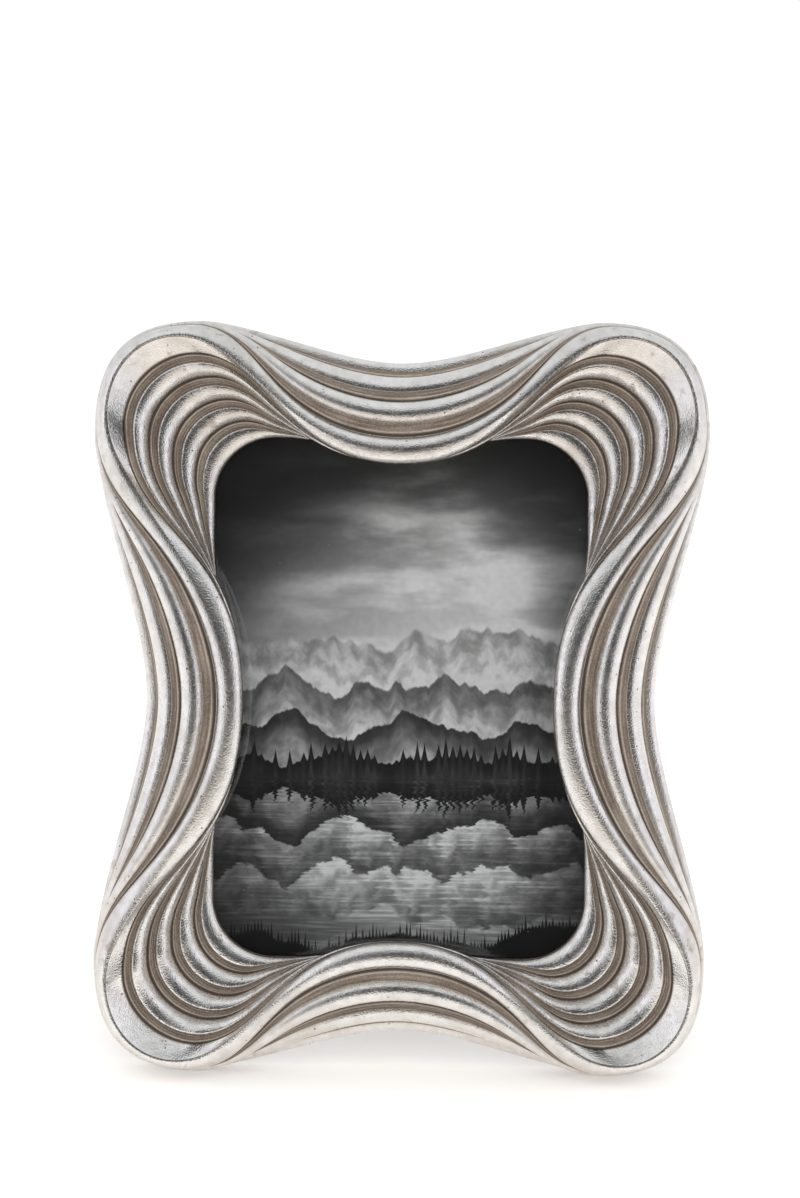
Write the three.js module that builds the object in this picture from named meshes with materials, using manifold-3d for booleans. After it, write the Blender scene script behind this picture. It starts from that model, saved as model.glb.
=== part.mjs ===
// Standing photo frame: a cast moulding of twisting flutes round a 5 x 7 in print, with a pane,
// a felted backing board held by turn buttons, a folding easel leg and a hanger ring.
// Millimetres, +Z up, front towards -Y. It leans back on its leg and stands on z = 0.
import * as THREE from 'three';
import { mergeVertices } from 'three/addons/utils/BufferGeometryUtils.js';
import Module from 'manifold-3d';

const wasm = await Module();
wasm.setup();

// Print, pane and backing
const printWidth = 127;
const printHeight = 178;
const printThickness = 0.3;
const glassThickness = 2;
const boardThickness = 2.5;
const feltThickness = 0.5;
const seatGap = 0.3; // between pieces that lie on each other
const rebateClearance = 0.6; // round the pane and the board
const boardInset = 0.1; // how far the felt lies inside the back face

// Sight opening
const sightOverlapX = 3.5; // how far the lip covers the print at each side
const sightOverlapZ = 5; // and at its top and bottom
const sightCornerRadius = 19.5;
const rebateCornerRadius = 1.2;
const lipThickness = 2;

// Reach of the moulding outside the sight edges
const waistReachX = 19.9; // base at the middle of a side
const waistReachZ = 21.7; // base at the middle of the top and bottom
const lobeReachX = 38.3; // base at the corner lobes, sideways
const lobeReachZ = 36.7; // and upwards
const rimWidth = 5.1; // rim round the lobes
const bandWidth = 5.2; // dished band inside the rim
const crestOverhangX = 11; // how far the crest reaches in over the pane at the sides
const crestOverhangZ = 8.3; // and at the top and bottom
const crestRoll = 4.2; // from the crest's inner edge to its top

// Guide lines round the moulding. A tip is where the lobe reaches furthest, from the sight's corner.
// Runs are the lengths of the curve's handles, two each for the side, the lobe and the top.
const baseTip = [4.8, 0];
const baseRuns = [25.5, 18.3, 21.4, 27, 13.1, 22];
const crestTip = [11, 6.5];
const crestRuns = [40.4, 23, 14.3, 12.7, 23, 38.2];
const edgeTip = [5.5, 4.5];
const edgeRuns = [54.5, 37, 12.3, 12.5, 24, 37.9];

// Heights above the back face
const crestHeight = 29; // crest at the waists
const crestDrop = 3.5; // crest's inner edge below its top
const rimHeight = 21; // rim at the lobes
const bandDrop = 1.4; // dished band below the rim at the ends of a lobe
const cornerDrop = 3.2; // and how much lower in the lobe's middle
const rimDrop = 3; // outer foot of the crest's round below its top at the waists
const baseEdge = 1.5; // plain edge at the back

// Flutes: reeds with a flat groove beside each
const innerReeds = 4;
const outerReeds = 3;
const innerReedShare = 0.7; // of the pitch that is reed
const outerReedShare = 0.62;
const reedArc = THREE.MathUtils.degToRad(60); // half the arc of a reed's round back
const bandRiseAtLobe = -0.02; // height for each millimetre of the band's width
const rimRiseAtLobe = 0.05;
const rimShareAtWaist = 0.1; // of the outer flank that is rim
const rimShareAtLobe = 0.6;
const rimSpread = 4; // how late the rim widens towards the lobe
const scoopPowerAtWaist = 0.7; // how the scoop climbs: below 1 steep first, above 1 flat first
const scoopPowerAtLobe = 1.6;

// Facets
const sideSteps = 8;
const lobeSteps = 8;
const topSteps = 6;
const reedSteps = 4;
const roundSteps = 12;
const wireSides = 8;

// Turn buttons and screws
const buttonPivotOut = 6; // pivot outside the rebate's wall
const buttonFromEdge = 47; // pivot from the board's top and bottom edges
const buttonRadius = 4.5;
const buttonTipRadius = 3.2;
const buttonReach = 12; // pivot to tip
const buttonThickness = 1;
const screwHeadRadius = 3.2;
const screwHeadHeight = 1.4;
const screwRadius = 1.2;
const screwLength = 9;
const boreClearance = 0.3; // between a hole and what passes through it

// Easel leg and its hinge
const leanAngle = THREE.MathUtils.degToRad(12);
const legOpenAngle = THREE.MathUtils.degToRad(24);
const hingeBelowEdge = 51; // pin below the board's top edge
const legThickness = 2.5;
const legTopHalfWidth = 15;
const legFootHalfWidth = 23;
const legFeltMargin = 1; // felt keeps off the leg's edges
const hingeHalfWidth = 13;
const hingeKnuckleHalfWidth = 4.7;
const hingeLeafLength = 19;
const hingeLeafThickness = 0.6;
const leafCornerRadius = 2.5; // far corners of the sheet leaves
const hingeBarrelRadius = 2.2;
const hingePinRadius = 0.9;
const hingePinHead = 0.8; // pin stands out of the barrel at each end
const hingeStopLength = 8; // tongue that meets the back leaf when the leg is open

// Rivets, and the domed heads of rivets and screws
const headEdge = 0.3; // of a head's height that is upright edge
const headShoulder = 0.7; // of its radius where the dome turns over
const headShoulderRise = 0.85; // of its height there
const rivetRadius = 1.2;
const rivetHeadRadius = 2.4;
const rivetHeadHeight = 0.9;
const hingeRivetX = 8;
const hingeRivetZ = 11.5; // from the pin

// Hanger
const hangerBelowEdge = 8; // ring's pivot below the board's top edge
const hangerHalfWidth = 4.5;
const hangerLength = 19;
const hangerRivetFirst = 6.5; // below the ring's pivot
const hangerRivetPitch = 7;
const ringWireRadius = 0.8;
const ringHalfWidth = 8;
const ringDrop = 5; // straight legs of the ring below its bar

// Worked out from these
const sight = new THREE.Vector2(printWidth / 2 - sightOverlapX, printHeight / 2 - sightOverlapZ);
const rebate = new THREE.Vector2(printWidth / 2 + rebateClearance, printHeight / 2 + rebateClearance);
const feltBack = -boardInset;
const boardBack = feltBack - feltThickness - seatGap;
const boardFront = boardBack - boardThickness;
const printBack = boardFront - seatGap;
const glassBack = printBack - printThickness - seatGap;
const rebateDepth = -(glassBack - glassThickness - seatGap);
const lipTop = rebateDepth + lipThickness;
const pinY = feltBack + seatGap + hingeBarrelRadius;
const hingeZ = printHeight / 2 - hingeBelowEdge;

// Closed solids

function closed(geometry) {
  const bare = geometry.clone();
  bare.deleteAttribute('normal');
  bare.deleteAttribute('uv');
  const welded = mergeVertices(bare, 1e-4);
  const at = welded.attributes.position;
  const index = welded.index.array;
  const kept = [];
  for (let i = 0; i < index.length; i += 3) {
    const [a, b, c] = [index[i], index[i + 1], index[i + 2]];
    if (a !== b && b !== c && c !== a) kept.push(a, b, c);
  }
  const corner = [new THREE.Vector3(), new THREE.Vector3(), new THREE.Vector3()];
  let volume = 0;
  for (let i = 0; i < kept.length; i += 3) {
    corner.forEach((point, k) => point.fromBufferAttribute(at, kept[i + k]));
    volume += corner[0].dot(corner[1].cross(corner[2]));
  }
  if (volume < 0) kept.reverse();
  welded.setIndex(kept);
  return welded;
}

function toSolid(geometry) {
  const shell = closed(geometry);
  return new wasm.Manifold(new wasm.Mesh({
    numProp: 3,
    vertProperties: new Float32Array(shell.attributes.position.array),
    triVerts: new Uint32Array(shell.index.array),
  }));
}

function toGeometry(solid) {
  const mesh = solid.getMesh();
  const geometry = new THREE.BufferGeometry();
  geometry.setAttribute('position', new THREE.BufferAttribute(mesh.vertProperties, 3));
  geometry.setIndex(new THREE.BufferAttribute(mesh.triVerts, 1));
  return geometry;
}

function join(...geometries) {
  return toGeometry(geometries.map(toSolid).reduce((sum, next) => sum.add(next)));
}

function cut(geometry, ...tools) {
  return toGeometry(tools.map(toSolid).reduce((rest, tool) => rest.subtract(tool), toSolid(geometry)));
}

function block(x0, x1, y0, y1, z0, z1) {
  const box = new THREE.BoxGeometry(x1 - x0, y1 - y0, z1 - z0);
  return box.translate((x0 + x1) / 2, (y0 + y1) / 2, (z0 + z1) / 2);
}

// A plate with its outline in x and z, between two places in y.
function plate(shape, y0, y1) {
  const options = { depth: y1 - y0, bevelEnabled: false, curveSegments: roundSteps };
  const body = new THREE.ExtrudeGeometry(shape, options);
  return body.rotateX(Math.PI / 2).translate(0, y1, 0);
}

function boreAlongY(radius, x, z, y0, y1) {
  return new THREE.CylinderGeometry(radius, radius, y1 - y0, roundSteps).translate(x, (y0 + y1) / 2, z);
}

function rodAlongX(radius, x0, x1) {
  const rod = new THREE.CylinderGeometry(radius, radius, x1 - x0, 2 * roundSteps);
  return rod.rotateZ(Math.PI / 2).translate((x0 + x1) / 2, 0, 0);
}

// A skin through rows of points, closed round each row and from the last row to the first.
function closedLoft(rows) {
  const across = rows[0].length;
  const geometry = new THREE.BufferGeometry().setFromPoints(rows.flat());
  const index = [];
  rows.forEach((row, i) => {
    const next = (i + 1) % rows.length;
    for (let j = 0; j < across; j += 1) {
      const k = (j + 1) % across;
      const [a, b, c, d] = [i * across + j, next * across + j, next * across + k, i * across + k];
      index.push(a, b, c, a, c, d);
    }
  });
  geometry.setIndex(index);
  return geometry;
}

// Moulding

// A guide line's quarter: up the side from its waist, round the lobe and in along the top.
// waist and lobe are reaches outside the sight edges, sideways and upwards.
function quarterLine({ waist, lobe, tip, runs }) {
  const [sideStart, sideEnd, lobeStart, lobeEnd, topStart, topEnd] = runs;
  const [waistX, lobeX, tipX] = [waist, lobe, tip].map((reach) => sight.x + reach[0]);
  const [waistZ, lobeZ, tipZ] = [waist, lobe, tip].map((reach) => sight.y + reach[1]);
  const at = (x, z) => new THREE.Vector2(x, z);
  const stretches = [
    [[at(waistX, 0), at(waistX, sideStart), at(lobeX, tipZ - sideEnd), at(lobeX, tipZ)], sideSteps],
    [[at(lobeX, tipZ), at(lobeX, tipZ + lobeStart), at(tipX + lobeEnd, lobeZ), at(tipX, lobeZ)], lobeSteps],
    [[at(tipX, lobeZ), at(tipX - topStart, lobeZ), at(topEnd, waistZ), at(0, waistZ)], topSteps],
  ];
  const points = [];
  for (const [handles, steps] of stretches) {
    const curve = new THREE.CubicBezierCurve(...handles);
    for (let i = 0; i < steps; i += 1) points.push(curve.getPointAt(i / steps));
  }
  points.push(at(0, waistZ));
  return points;
}

const baseQuarter = quarterLine({
  waist: [waistReachX, waistReachZ],
  lobe: [lobeReachX, lobeReachZ],
  tip: baseTip,
  runs: baseRuns,
});
const crestQuarter = quarterLine({
  waist: [crestRoll - crestOverhangX, crestRoll - crestOverhangZ],
  lobe: [lobeReachX - rimWidth, lobeReachZ - rimWidth],
  tip: crestTip,
  runs: crestRuns,
});
const edgeQuarter = quarterLine({
  waist: [-crestOverhangX, -crestOverhangZ],
  lobe: [lobeReachX - rimWidth - bandWidth, lobeReachZ - rimWidth - bandWidth],
  tip: edgeTip,
  runs: edgeRuns,
});

// The point of a rectangle with round corners that lies straight in from a point outside its core.
function onRoundedRectangle(half, radius, point) {
  const core = new THREE.Vector2(half.x - radius, half.y - radius);
  const held = point.clone().min(core);
  return point.clone().sub(held).setLength(radius).add(held);
}

// One station of the moulding for each step along the quarter: its guide points and heights.
const quarterStations = edgeQuarter.map((edge, i) => {
  const along = i <= sideSteps
    ? i / sideSteps
    : Math.min(1, (edgeQuarter.length - 1 - i) / topSteps);
  const lobe = THREE.MathUtils.smoothstep(along, 0, 1);
  const corner = Math.sin(Math.PI * THREE.MathUtils.clamp((i - sideSteps) / lobeSteps, 0, 1));
  const lobeEdge = rimHeight - bandDrop - cornerDrop * corner;
  return {
    edge,
    lobe,
    crest: crestQuarter[i],
    base: baseQuarter[i],
    sight: onRoundedRectangle(sight, sightCornerRadius, edge),
    crestHeight: THREE.MathUtils.lerp(crestHeight, rimHeight, lobe),
    edgeHeight: THREE.MathUtils.lerp(crestHeight - crestDrop, lobeEdge, lobe),
  };
});

function mirrored(station, signX, signZ) {
  const copy = { ...station };
  for (const line of ['edge', 'crest', 'base', 'sight']) {
    copy[line] = new THREE.Vector2(station[line].x * signX, station[line].y * signZ);
  }
  return copy;
}

const last = quarterStations.length - 1;
const stations = [
  ...quarterStations.slice(0, last).map((s) => mirrored(s, 1, 1)),
  ...quarterStations.slice(1).reverse().map((s) => mirrored(s, -1, 1)),
  ...quarterStations.slice(0, last).map((s) => mirrored(s, -1, -1)),
  ...quarterStations.slice(1).reverse().map((s) => mirrored(s, 1, -1)),
];

const inFrame = (plan, height) => new THREE.Vector3(plan.x, -height, plan.y);

// The height of a quarter round, from 1 at its top to 0 where it stands upright.
const quarterRound = (along) => Math.sqrt(Math.max(0, 1 - along * along));

// The moulding's face without its flutes: 0 to 1 the scoop from the sight edge to the crest's inner
// edge, 1 to 2 the band up to the crest, 2 to 3 the outer flank down to the base.
function facePoint(station, t) {
  const { lobe } = station;
  if (t <= 1) {
    const power = THREE.MathUtils.lerp(scoopPowerAtWaist, scoopPowerAtLobe, lobe);
    const height = THREE.MathUtils.lerp(lipTop, station.edgeHeight, t ** power);
    return inFrame(station.sight.clone().lerp(station.edge, t), height);
  }
  if (t <= 2) {
    const s = t - 1;
    const climb = THREE.MathUtils.lerp(quarterRound(1 - s), s, lobe * lobe);
    const height = THREE.MathUtils.lerp(station.edgeHeight, station.crestHeight, climb);
    return inFrame(station.edge.clone().lerp(station.crest, s), height);
  }
  const q = t - 2;
  const rimTurn = THREE.MathUtils.lerp(rimShareAtWaist, rimShareAtLobe, lobe ** rimSpread);
  const onRim = Math.min(1, q / rimShareAtWaist);
  const pastRim = Math.max(0, (q - rimShareAtWaist) / (1 - rimShareAtWaist));
  const angle = THREE.MathUtils.lerp(rimTurn * onRim, 1, pastRim) * Math.PI / 2;
  const drop = rimDrop * (1 - lobe) * (1 - quarterRound(onRim)) * (1 - pastRim);
  const height = baseEdge + (station.crestHeight - baseEdge) * Math.cos(angle) - drop;
  return inFrame(station.crest.clone().lerp(station.base, Math.sin(angle)), height);
}

// Where each reed starts and ends across the face, and how far it rises for its width.
const reedRise = Math.tan(reedArc / 2) / 2;
const reeds = [];
for (let i = 0; i < innerReeds; i += 1) {
  reeds.push({ from: i / innerReeds, to: (i + innerReedShare) / innerReeds, rise: [reedRise, reedRise] });
}
reeds.push({ from: 1, to: 2, rise: [0, bandRiseAtLobe] });
reeds.push({ from: 2, to: 2 + rimShareAtWaist, rise: [0, rimRiseAtLobe] });
const outerPitch = (1 - rimShareAtWaist) / outerReeds;
for (let i = 1; i <= outerReeds; i += 1) {
  const to = 2 + rimShareAtWaist + i * outerPitch;
  reeds.push({ from: to - outerReedShare * outerPitch, to, rise: [reedRise, reedRise] });
}

// A reed's round back across its width, from 0 at its sides to 1 in the middle.
function roundBack(share) {
  const across = (2 * share - 1) * Math.sin(reedArc);
  return (Math.sqrt(1 - across * across) - Math.cos(reedArc)) / (1 - Math.cos(reedArc));
}

function faceNormal(i, t) {
  const step = 0.02;
  const before = stations[(i + stations.length - 1) % stations.length];
  const after = stations[(i + 1) % stations.length];
  const along = facePoint(after, t).sub(facePoint(before, t));
  const inner = facePoint(stations[i], Math.max(0, t - step));
  const outer = facePoint(stations[i], Math.min(3, t + step));
  return outer.sub(inner).cross(along).normalize();
}

function mouldingRow(station, i) {
  const row = [inFrame(station.sight, 0)];
  let reached = -1;
  for (const reed of reeds) {
    const width = facePoint(station, reed.from).distanceTo(facePoint(station, reed.to));
    const height = width * THREE.MathUtils.lerp(reed.rise[0], reed.rise[1], station.lobe);
    for (let k = 0; k <= reedSteps; k += 1) {
      const t = THREE.MathUtils.lerp(reed.from, reed.to, k / reedSteps);
      const rise = height * roundBack(k / reedSteps);
      if (t > reached) row.push(facePoint(station, t).addScaledVector(faceNormal(i, t), rise));
      reached = t;
    }
  }
  row.push(inFrame(station.base, 0));
  return row;
}

const mouldingRows = stations.map(mouldingRow);
const quarters = [[1, 1], [-1, 1], [-1, -1], [1, -1]];
const pivotX = rebate.x + buttonPivotOut;
const pivotZ = printHeight / 2 - buttonFromEdge;
const buttonPivots = quarters.map(([x, z]) => [x * pivotX, z * pivotZ]);
const rebateOutline = new THREE.Shape();
quarters.forEach(([x, z], i) => {
  const middleX = x * (rebate.x - rebateCornerRadius);
  const middleZ = z * (rebate.y - rebateCornerRadius);
  const start = i * Math.PI / 2;
  rebateOutline.absarc(middleX, middleZ, rebateCornerRadius, start, start + Math.PI / 2, false);
});
rebateOutline.closePath();
const screwBore = screwRadius + boreClearance;
const moulding = cut(
  closedLoft(mouldingRows),
  plate(rebateOutline, -rebateDepth, baseEdge),
  ...buttonPivots.map(([x, z]) => boreAlongY(screwBore, x, z, -screwLength, baseEdge)),
);

// Pane, print, board and felt

function sheet(back, thickness) {
  const [halfX, halfZ] = [printWidth / 2, printHeight / 2];
  return block(-halfX, halfX, back - thickness, back, -halfZ, halfZ);
}

const hangerZ = printHeight / 2 - hangerBelowEdge;
const hingeRivets = [-hingeRivetX, hingeRivetX];
const hangerRivets = [0, 1].map((i) => hangerZ - hangerRivetFirst - i * hangerRivetPitch);
const boardRivets = [
  ...hingeRivets.map((x) => [x, hingeZ + hingeRivetZ]),
  ...hangerRivets.map((z) => [0, z]),
];
const rivetBore = rivetRadius + boreClearance;

function backingSheet(back, thickness) {
  const bores = boardRivets.map(([x, z]) => boreAlongY(rivetBore, x, z, back - thickness - 1, back + 1));
  return cut(sheet(back, thickness), ...bores);
}

// Turned fasteners, along y with the head towards +Y

function headed(headRadius, headHeight, shankRadius, shankLength) {
  const profile = [
    new THREE.Vector2(0, -shankLength),
    new THREE.Vector2(shankRadius, -shankLength),
    new THREE.Vector2(shankRadius, 0),
    new THREE.Vector2(headRadius, 0),
    new THREE.Vector2(headRadius, headEdge * headHeight),
    new THREE.Vector2(headShoulder * headRadius, headShoulderRise * headHeight),
    new THREE.Vector2(0, headHeight),
  ];
  return new THREE.LatheGeometry(profile, roundSteps);
}

// Turn button: a round eye on the screw with a tongue that tapers to a round tip, tongue towards +X.

function turnButton() {
  const tipAt = buttonReach - buttonTipRadius;
  const tangent = Math.acos((buttonRadius - buttonTipRadius) / tipAt);
  const outline = new THREE.Shape();
  outline.absarc(0, 0, buttonRadius, tangent, 2 * Math.PI - tangent, false);
  outline.absarc(tipAt, 0, buttonTipRadius, -tangent, tangent, false);
  outline.closePath();
  const eye = boreAlongY(screwBore, 0, 0, -1, buttonThickness + 1);
  return cut(plate(outline, 0, buttonThickness), eye);
}

// Hinge leaves, with the pin's axis along x through the origin. face is the side of the barrel that
// the leaf lies on (-1 front, 1 back), and way is where the leaf points (1 up, -1 down).

function rolledLeaf({ halfWidth, length, face, way, spans, holes, extra = [] }) {
  const boreRadius = hingePinRadius + boreClearance;
  const y0 = face < 0 ? -hingeBarrelRadius : hingeBarrelRadius - hingeLeafThickness;
  const y1 = y0 + hingeLeafThickness;
  const start = hingeBarrelRadius + seatGap;
  const flap = (x0, x1, z0, z1) => {
    const [low, high] = way > 0 ? [z0, z1] : [-z1, -z0];
    return block(x0, x1, y0, y1, low, high);
  };
  const body = join(
    flap(-halfWidth, halfWidth, start, length),
    ...spans.map(([x0, x1]) => flap(x0, x1, 0, start + hingeLeafThickness)),
    ...spans.map(([x0, x1]) => rodAlongX(hingeBarrelRadius, x0, x1)),
    ...extra,
  );
  const drill = holes.map(([x, z]) => boreAlongY(rivetBore, x, z, y0 - 1, y1 + 1));
  const radius = leafCornerRadius;
  const corners = [-1, 1].map((side) => {
    const square = block(-radius, radius, y0 - 1, y1 + 1, -radius, radius);
    square.translate(side * halfWidth, 0, way * length);
    return cut(square, boreAlongY(radius, side * (halfWidth - radius), way * (length - radius), y0 - 2, y1 + 2));
  });
  return cut(body, rodAlongX(boreRadius, -halfWidth - 1, halfWidth + 1), ...drill, ...corners);
}

const outerKnuckle = hingeKnuckleHalfWidth + seatGap;
const backLeaf = rolledLeaf({
  halfWidth: hingeHalfWidth,
  length: hingeLeafLength,
  face: -1,
  way: 1,
  spans: [[-hingeHalfWidth, -outerKnuckle], [outerKnuckle, hingeHalfWidth]],
  holes: hingeRivets.map((x) => [x, hingeRivetZ]),
});

// The leg's leaf has a tongue above its knuckle that lies along the back leaf when the leg is open.
const stopFront = -hingeBarrelRadius + hingeLeafThickness + seatGap;
const stopTongue = block(
  -hingeKnuckleHalfWidth, hingeKnuckleHalfWidth,
  stopFront, stopFront + hingeLeafThickness,
  hingePinRadius + boreClearance, hingeStopLength,
).rotateX(-legOpenAngle);
const legLeaf = rolledLeaf({
  halfWidth: hingeHalfWidth,
  length: hingeLeafLength,
  face: 1,
  way: -1,
  spans: [[-hingeKnuckleHalfWidth, hingeKnuckleHalfWidth]],
  holes: hingeRivets.map((x) => [x, -hingeRivetZ]),
  extra: [stopTongue],
});
const hangerStrap = rolledLeaf({
  halfWidth: hangerHalfWidth,
  length: hangerLength,
  face: -1,
  way: -1,
  spans: [[-hangerHalfWidth, hangerHalfWidth]],
  holes: hangerRivets.map((z) => [0, z - hangerZ]),
});

// Hanger ring: a bent wire with a straight bar in the strap's eye and a round bottom.

function hangerRing() {
  const path = new THREE.CurvePath();
  const bend = ringHalfWidth / 3;
  const low = -ringDrop - 4 / 3 * ringHalfWidth; // handles that make the bottom a half circle
  const at = (x, z) => new THREE.Vector3(x, 0, z);
  const barEnds = [-1, 1].map((side) => at(side * (ringHalfWidth - bend), 0));
  const corners = [-1, 1].map((side) => at(side * ringHalfWidth, 0));
  const shoulders = [-1, 1].map((side) => at(side * ringHalfWidth, -bend));
  const legEnds = [-1, 1].map((side) => at(side * ringHalfWidth, -ringDrop));
  const lowHandles = [-1, 1].map((side) => at(side * ringHalfWidth, low));
  path.add(new THREE.LineCurve3(barEnds[0], barEnds[1]));
  path.add(new THREE.QuadraticBezierCurve3(barEnds[1], corners[1], shoulders[1]));
  path.add(new THREE.LineCurve3(shoulders[1], legEnds[1]));
  path.add(new THREE.CubicBezierCurve3(legEnds[1], lowHandles[1], lowHandles[0], legEnds[0]));
  path.add(new THREE.LineCurve3(legEnds[0], shoulders[0]));
  path.add(new THREE.QuadraticBezierCurve3(shoulders[0], corners[0], barEnds[0]));
  const wireSteps = 4 * roundSteps;
  const rows = [];
  for (let i = 0; i < wireSteps; i += 1) {
    const middle = path.getPointAt(i / wireSteps);
    const out = path.getTangentAt(i / wireSteps).cross(new THREE.Vector3(0, 1, 0));
    const row = [];
    for (let k = 0; k < wireSides; k += 1) {
      const turn = k * 2 * Math.PI / wireSides;
      const point = middle.clone().addScaledVector(out, ringWireRadius * Math.cos(turn));
      row.push(point.setY(ringWireRadius * Math.sin(turn)));
    }
    rows.push(row);
  }
  return closedLoft(rows);
}

// Easel leg, in the pin's own frame with the leg hanging down, cut off level with the floor

const heightWhenLeaning = (p) => p.z * Math.cos(leanAngle) - p.y * Math.sin(leanAngle);
const lowest = Math.min(...mouldingRows.flat().map(heightWhenLeaning));
const pinAboveFloor = hingeZ * Math.cos(leanAngle) - pinY * Math.sin(leanAngle) - lowest;
const legTilt = legOpenAngle - leanAngle;
const legLeafFront = hingeBarrelRadius - hingeLeafThickness;
const legFeltBack = legLeafFront - seatGap;
const legBack = legFeltBack - feltThickness - seatGap;
const legFront = legBack - legThickness;
const legTop = -hingeBarrelRadius - seatGap;
const legLength = pinAboveFloor / Math.cos(legTilt);

function legSheet(y0, y1, margin) {
  const spread = (legFootHalfWidth - legTopHalfWidth) / (legLength + legTop);
  const beyond = legLength + legThickness;
  const footHalf = legTopHalfWidth + spread * (beyond + legTop);
  const outline = new THREE.Shape();
  outline.moveTo(-legTopHalfWidth + margin, legTop);
  outline.lineTo(legTopHalfWidth - margin, legTop);
  outline.lineTo(footHalf - margin, -beyond);
  outline.lineTo(-footHalf + margin, -beyond);
  outline.closePath();
  const floor = block(-2 * footHalf, 2 * footHalf, -legLength, legLength, -legLength, margin);
  floor.translate(0, 0, -pinAboveFloor).rotateX(-legTilt);
  const holes = hingeRivets.map((x) => boreAlongY(rivetBore, x, -hingeRivetZ, y0 - 1, y1 + 1));
  return cut(plate(outline, y0, y1), floor, ...holes);
}

// Assembly

const finishes = {
  silver: { color: 0xb9b6b0, roughness: 0.35, metalness: 0.8 },
  glass: { color: 0xe8eef0, roughness: 0.05, metalness: 0, transparent: true, opacity: 0.2 },
  paper: { color: 0x6f6f70, roughness: 0.5, metalness: 0 },
  board: { color: 0x8a6f52, roughness: 0.85, metalness: 0 },
  felt: { color: 0x26241f, roughness: 1, metalness: 0 },
  steel: { color: 0xa9abad, roughness: 0.4, metalness: 1 },
};

function piece(parent, name, geometry, finish) {
  const mesh = new THREE.Mesh(closed(geometry), new THREE.MeshStandardMaterial(finishes[finish]));
  mesh.name = name;
  parent.add(mesh);
  return mesh;
}

const photoFrame = new THREE.Group();
const leaning = new THREE.Group();
leaning.rotation.x = -leanAngle;
leaning.position.z = -lowest;
photoFrame.add(leaning);

piece(leaning, 'frame_moulding', moulding, 'silver');
piece(leaning, 'glass_pane', sheet(glassBack, glassThickness), 'glass');
piece(leaning, 'photo_print', sheet(printBack, printThickness), 'paper');
piece(leaning, 'backing_board', backingSheet(boardBack, boardThickness), 'board');
piece(leaning, 'backing_felt', backingSheet(feltBack, feltThickness), 'felt');

const buttonBack = seatGap + buttonThickness;
buttonPivots.forEach(([x, z], i) => {
  const button = piece(leaning, `turn_button_${i + 1}`, turnButton(), 'steel');
  button.position.set(x, seatGap, z);
  button.rotation.y = x > 0 ? Math.PI : 0;
  const headSeat = buttonBack + seatGap;
  const shankLength = headSeat + screwLength - seatGap;
  const screw = headed(screwHeadRadius, screwHeadHeight, screwRadius, shankLength);
  piece(leaning, `turn_screw_${i + 1}`, screw, 'steel').position.set(x, headSeat, z);
});

const leafBack = feltBack + seatGap + hingeLeafThickness;
const boardRivetLength = leafBack + seatGap - boardFront;
const boardRivet = headed(rivetHeadRadius, rivetHeadHeight, rivetRadius, boardRivetLength);
piece(leaning, 'hinge_leaf_back', backLeaf, 'steel').position.set(0, pinY, hingeZ);
hingeRivets.forEach((x, i) => {
  const rivet = piece(leaning, `hinge_rivet_${i + 1}`, boardRivet, 'steel');
  rivet.position.set(x, leafBack + seatGap, hingeZ + hingeRivetZ);
});
piece(leaning, 'hanger_strap', hangerStrap, 'steel').position.set(0, pinY, hangerZ);
hangerRivets.forEach((z, i) => {
  const rivet = piece(leaning, `hanger_rivet_${i + 1}`, boardRivet, 'steel');
  rivet.position.set(0, leafBack + seatGap, z);
});
const ring = piece(leaning, 'hanger_ring', hangerRing(), 'steel');
ring.position.set(0, pinY, hangerZ);
ring.rotation.x = leanAngle;

const leg = new THREE.Group();
leg.position.set(0, pinY, hingeZ);
leg.rotation.x = legOpenAngle;
leaning.add(leg);
const pinHalf = hingeHalfWidth + hingePinHead;
piece(leg, 'hinge_pin', rodAlongX(hingePinRadius, -pinHalf, pinHalf), 'steel');
piece(leg, 'hinge_leaf_leg', legLeaf, 'steel');
piece(leg, 'leg_board', legSheet(legFront, legBack, 0), 'board');
piece(leg, 'leg_felt', legSheet(legFeltBack - feltThickness, legFeltBack, legFeltMargin), 'felt');
const legRivetLength = hingeBarrelRadius + seatGap - legFront;
const legRivet = headed(rivetHeadRadius, rivetHeadHeight, rivetRadius, legRivetLength);
hingeRivets.forEach((x, i) => {
  const rivet = piece(leg, `hinge_rivet_${i + 1 + hingeRivets.length}`, legRivet, 'steel');
  rivet.position.set(x, hingeBarrelRadius + seatGap, -hingeRivetZ);
});

// The origin is on the floor under the middle of the whole object.
photoFrame.updateMatrixWorld(true);
const middle = new THREE.Box3().setFromObject(photoFrame, true).getCenter(new THREE.Vector3());
leaning.position.y = -middle.y;

export default photoFrame;
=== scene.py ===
# Standing photo frame: silver-leaf moulding, pane and print, felted back with an easel leg and hardware.
import math
import bmesh
import bpy
from mathutils import Matrix, Vector


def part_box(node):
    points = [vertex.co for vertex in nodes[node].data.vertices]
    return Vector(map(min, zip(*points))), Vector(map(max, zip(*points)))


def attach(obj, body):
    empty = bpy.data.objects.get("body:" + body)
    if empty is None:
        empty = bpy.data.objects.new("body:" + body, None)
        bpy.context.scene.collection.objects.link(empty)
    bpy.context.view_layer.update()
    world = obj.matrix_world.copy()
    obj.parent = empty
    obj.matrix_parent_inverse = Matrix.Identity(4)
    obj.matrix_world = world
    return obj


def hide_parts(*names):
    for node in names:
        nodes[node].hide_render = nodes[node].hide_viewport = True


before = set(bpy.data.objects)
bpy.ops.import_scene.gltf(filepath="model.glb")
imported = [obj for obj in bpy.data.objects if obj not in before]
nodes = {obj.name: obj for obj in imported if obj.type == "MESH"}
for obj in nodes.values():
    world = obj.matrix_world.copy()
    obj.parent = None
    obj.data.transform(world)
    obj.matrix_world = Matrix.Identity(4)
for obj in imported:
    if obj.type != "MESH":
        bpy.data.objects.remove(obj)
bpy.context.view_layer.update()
scene = bpy.context.scene
mm = 0.001
quarterTurn = math.pi / 2
sharpAngle = math.radians(38)  # edges that bend more than this stay sharp

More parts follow.
